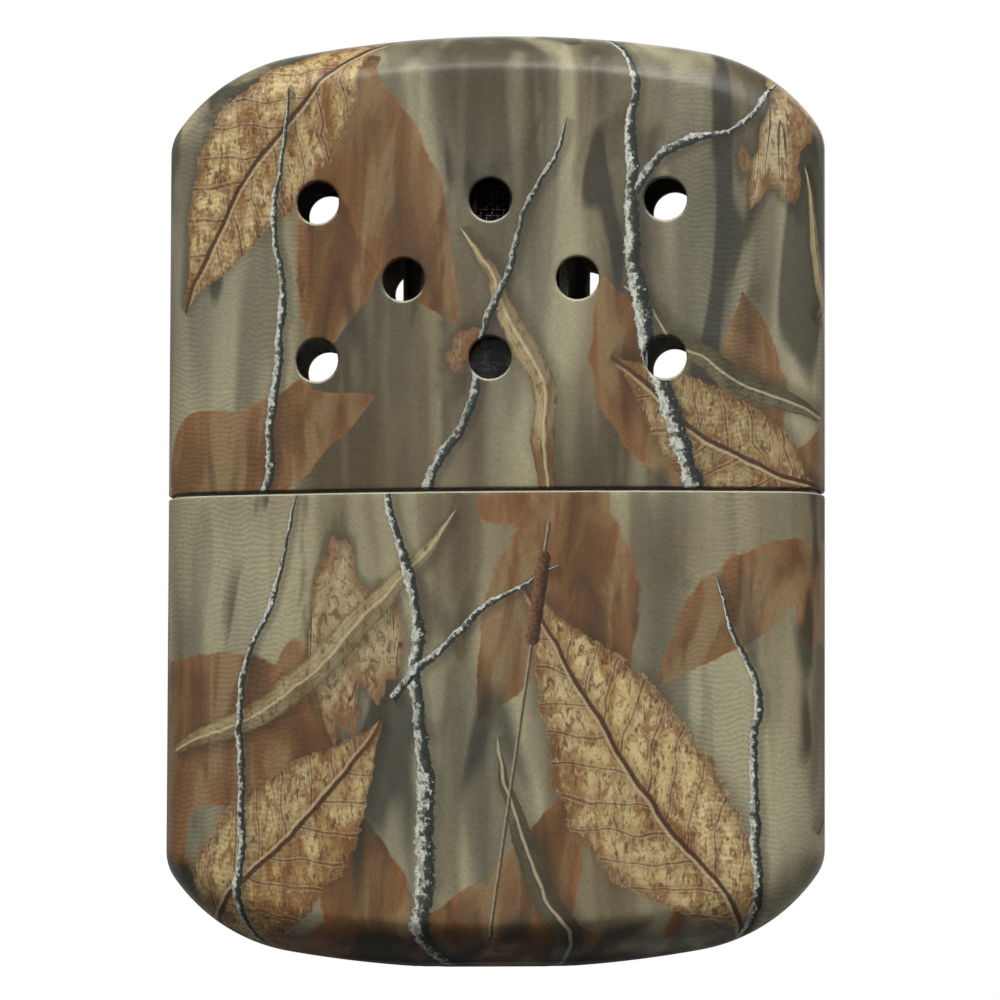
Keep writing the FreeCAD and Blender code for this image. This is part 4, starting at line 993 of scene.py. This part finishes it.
low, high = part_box("gauze_sleeve")
ga, gb = high[0] / MM - 0.13, high[1] / MM - 0.13
gz0, gz1 = low[2] / MM, high[2] / MM
wires, rows_n = 74, 27
pitch = (gz1 - gz0 - 0.3) / (rows_n - 1)
verts, faces = [], []
pts, nrm = oblong_ring(ga, gb, wires)
for k in range(wires):
    zz = np.linspace(gz0 + 0.02, gz1 - 0.02, (rows_n + 1) * 4)
    ph = np.cos(math.pi * (zz - gz0 - 0.15) / pitch + math.pi * k) * 0.055
    tube(np.stack([pts[k, 0] + nrm[k, 0] * ph, pts[k, 1] + nrm[k, 1] * ph, zz], 1), 0.062, 5, False, verts, faces)
pts, nrm = oblong_ring(ga, gb, wires * 4)
for j in range(rows_n):
    ph = -np.cos(math.pi * ((np.arange(wires * 4) + 0.5) / 4 - 0.5) + math.pi * j) * 0.055
    zc = gz0 + 0.15 + j * pitch
    tube(np.stack([pts[:, 0] + nrm[:, 0] * ph, pts[:, 1] + nrm[:, 1] * ph, np.full(len(pts), zc)], 1), 0.062, 5, True, verts, faces)
gauze = mesh_object("gauze_weave", verts, faces, wire_metal)
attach(gauze, "burner")
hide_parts("gauze_sleeve")


# ---------------------------------------------------------------------------
# Stuffing: wadding, felt and the glass-wool catalyst
# ---------------------------------------------------------------------------
def stuffed(name, node, material, body, voxel, shrink, lump, lump_size, fuzz, fibres, seed):
    """The node's solid as soft matted stuff: remeshed, slumped in, made lumpy, with loose fibres."""
    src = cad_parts[node]
    me = src.data.copy()
    me.name = name
    me.transform(src.matrix_world)
    ob = bpy.data.objects.new(name, me)
    scene.collection.objects.link(ob)
    mod = ob.modifiers.new("remesh", "REMESH")
    mod.mode = "VOXEL"
    mod.voxel_size = voxel * MM
    mod.use_smooth_shade = True
    dg = bpy.context.evaluated_depsgraph_get()
    new = bpy.data.meshes.new_from_object(ob.evaluated_get(dg))
    ob.modifiers.clear()
    ob.data = new
    new.name = name
    bm = bmesh.new()
    bm.from_mesh(new)
    for _ in range(2):
        bmesh.ops.smooth_vert(bm, verts=bm.verts, factor=0.5, use_axis_x=True, use_axis_y=True, use_axis_z=True)
    bm.normal_update()
    rng = np.random.default_rng(seed)
    roots = []
    for v in bm.verts:
        q = Vector(v.co) * 1000
        a = noise.fractal(q / lump_size + Vector((seed, 0, 0)), 1.0, 2.0, 3)
        b = noise.noise(q * 2.1 + Vector((0, seed, 0)))
        d = shrink + lump * (0.5 - 0.5 * max(-1.0, min(1.0, 1.4 * a))) + fuzz * (0.5 - 0.5 * b)
        v.co = v.co - v.normal * (d * MM)
        roots.append((v.co / MM, v.normal.copy(), d))
    bm.normal_update()
    bm.to_mesh(new)
    bm.free()
    # loose fibres that lie on the surface, inside the space that the solid holds
    verts, faces = [], []
    if fibres:
        picks = rng.choice(len(roots), size=fibres, replace=True)
        for k in picks:
            co, n, d = roots[k]
            side = n.orthogonal().normalized()
            side = Quaternion(n, rng.uniform(0, 2 * math.pi)) @ side
            across = n.cross(side)
            length = rng.uniform(1.2, 3.4) * min(1.0, lump_size / 4)
            lift = d * rng.uniform(0.35, 0.8)
            curl = rng.uniform(-0.5, 0.5) * length
            path = []
            for t in np.linspace(0, 1, 7):
                q = co + side * (length * (t - 0.5)) + across * (curl * (t - 0.5) ** 2 * 2) + n * (lift * math.sin(math.pi * t) - 0.06)
                path.append((q.x, q.y, q.z))
            tube(path, 0.018, 3, False, verts, faces)
    if verts:
        lo, hi = (np.array(c) / MM + s * 0.03 for c, s in zip(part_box(node), (1, -1)))
        vv = np.clip(np.array(verts), lo, hi)
        n0 = len(new.vertices)
        co = np.empty(n0 * 3)
        new.vertices.foreach_get("co", co)
        allv = co.reshape(-1, 3).tolist() + (vv * MM).tolist()
        allf = [tuple(p.vertices) for p in new.polygons] + [tuple(i + n0 for i in f) for f in faces]
        joined = bpy.data.meshes.new(name)
        joined.from_pydata(allv, [], allf)
        joined.update()
        ob.data = joined
    ob.data.polygons.foreach_set("use_smooth", [True] * len(ob.data.polygons))
    ob.data.materials.clear()
    ob.data.materials.append(material)
    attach(ob, body)
    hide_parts(node)
    return ob


for side, seed in (("left", 3), ("middle", 5), ("right", 8)):
    stuffed("cotton_batt_" + side, "cotton_wad_" + side, cotton_fluff, "tank", 0.75, 0.06, 0.75, 5.5, 0.16, 500, seed)
stuffed("wick_felt", "wick_pad", felt_cloth, "tank", 0.34, 0.03, 0.22, 3.0, 0.10, 260, 11)
stuffed("catalyst_wool", "catalyst_pad", wool_grey, "burner", 0.26, 0.02, 0.24, 1.8, 0.12, 700, 17)

# ---------------------------------------------------------------------------
# Finishes on the CAD nodes that stay
# ---------------------------------------------------------------------------
for node, material in {"tank_insert": insert_metal, "filler_neck": neck_metal, "neck_screen": screen_metal,
                       "burner_skirt": skirt_metal, "burner_hood": burner_metal, "burner_floor": screen_metal,
                       "retainer_bars": bar_metal}.items():
    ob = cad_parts[node]
    if ob.material_slots:
        for s in ob.material_slots:
            s.material = material
    else:
        ob.data.materials.append(material)


# ---------------------------------------------------------------------------
# Stage, lights
# ---------------------------------------------------------------------------
floor = bpy.data.meshes.new("floor")
floor.from_pydata([(-3, -3, 0), (3, -3, 0), (3, 3, 0), (-3, 3, 0)], [], [(0, 1, 2, 3)])
floor_ob = bpy.data.objects.new("floor", floor)
scene.collection.objects.link(floor_ob)
fg = Graph("floor")
front = fg.node("ShaderNodeBsdfDiffuse")
seen = fg.node("ShaderNodeLightPath")
fp, fx, fy, fz = fg.coords()
bounce = fg.step(fy, -15.0, 30.0, 0.05, 0.55)
fg.put(front.inputs["Color"], fg.mix(Val(fg, seen.outputs["Is Camera Ray"]), fg.grey(bounce), (0.80, 0.80, 0.79, 1)))
under = fg.node("ShaderNodeBsdfTransparent")
both = fg.node("ShaderNodeMixShader")
open_to = fg.m("MAXIMUM", Val(fg, fg.node("ShaderNodeNewGeometry").outputs["Backfacing"]), Val(fg, seen.outputs["Is Shadow Ray"]))
# the pale floor runs out into the white backdrop
away = fg.m("SQRT", fg.m("MULTIPLY_ADD", fx, fx, fy * fy))
open_to = fg.m("MAXIMUM", open_to, fg.step(away, 110.0, 420.0) * Val(fg, seen.outputs["Is Camera Ray"]))
fg.t.links.new(open_to.s, both.inputs["Fac"])
fg.t.links.new(front.outputs[0], both.inputs[1])
fg.t.links.new(under.outputs[0], both.inputs[2])
fg.t.links.new(both.outputs[0], fg.out.inputs["Surface"])
floor.materials.append(fg.mat)
floor_ob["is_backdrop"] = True

world = bpy.data.worlds.new("world")
scene.world = world
world.use_nodes = True
nt = world.node_tree
nt.nodes.clear()


def world_step(v, a, b, lo, hi):
    n = nt.nodes.new("ShaderNodeMapRange")
    n.interpolation_type = "SMOOTHSTEP"
    for i, val in enumerate((0.0, a, b, lo, hi)):
        n.inputs[i].default_value = val
    nt.links.new(v, n.inputs[0])
    return n.outputs[0]


# a dim room, paler overhead and towards the white backdrop behind the object
sky = nt.nodes.new("ShaderNodeSeparateXYZ")
nt.links.new(nt.nodes.new("ShaderNodeTexCoord").outputs["Generated"], sky.inputs[0])
glow = nt.nodes.new("ShaderNodeMath")
glow.operation = "ADD"
nt.links.new(world_step(sky.outputs["Z"], 0.12, 0.80, 0.012, 0.12), glow.inputs[0])
nt.links.new(world_step(sky.outputs["Y"], 0.10, 0.90, 0.0, 0.14), glow.inputs[1])
room = nt.nodes.new("ShaderNodeBackground")
room.inputs["Color"].default_value = (0.97, 0.985, 1.0, 1)
nt.links.new(glow.outputs[0], room.inputs["Strength"])
white = nt.nodes.new("ShaderNodeBackground")
white.inputs["Color"].default_value = (1, 1, 1, 1)
pick = nt.nodes.new("ShaderNodeMixShader")
nt.links.new(nt.nodes.new("ShaderNodeLightPath").outputs["Is Camera Ray"], pick.inputs["Fac"])
nt.links.new(room.outputs[0], pick.inputs[1])
nt.links.new(white.outputs[0], pick.inputs[2])
nt.links.new(pick.outputs[0], nt.nodes.new("ShaderNodeOutputWorld").inputs["Surface"])


def area(name, loc, look, size, power, color=(1, 1, 1)):
    d = bpy.data.lights.new(name, "AREA")
    d.shape = "RECTANGLE"
    d.size, d.size_y = size
    d.energy = power
    d.color = color
    o = bpy.data.objects.new(name, d)
    scene.collection.objects.link(o)
    o.location = loc
    o.rotation_mode = "QUATERNION"
    o.rotation_quaternion = (Vector(look) - Vector(loc)).to_track_quat("-Z", "Y")
    return o


area("key", (0.05, -0.87, 1.05), (0, 0, 0.05), (1.1, 0.7), 24.0)
area("fill_left", (-1.15, -0.55, 0.75), (0, 0, 0.05), (0.7, 0.8), 2.0)
area("fill_right", (1.15, -0.55, 0.75), (0, 0, 0.05), (0.7, 0.8), 1.6)
area("back_fill", (0.1, 1.25, 0.6), (0, 0, 0.05), (1.0, 0.7), 5.0)
area("table_glow", (0.0, 0.42, -0.50), (0, 0, 0), (0.9, 0.5), 1.1)
area("side_left", (-1.15, 0.95, 0.5), (0, 0, 0.05), (0.6, 0.8), 0.8)
area("side_right", (1.15, 0.95, 0.5), (0, 0, 0.05), (0.6, 0.8), 1.4)
scene.view_settings.view_transform = "Standard"

low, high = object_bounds()
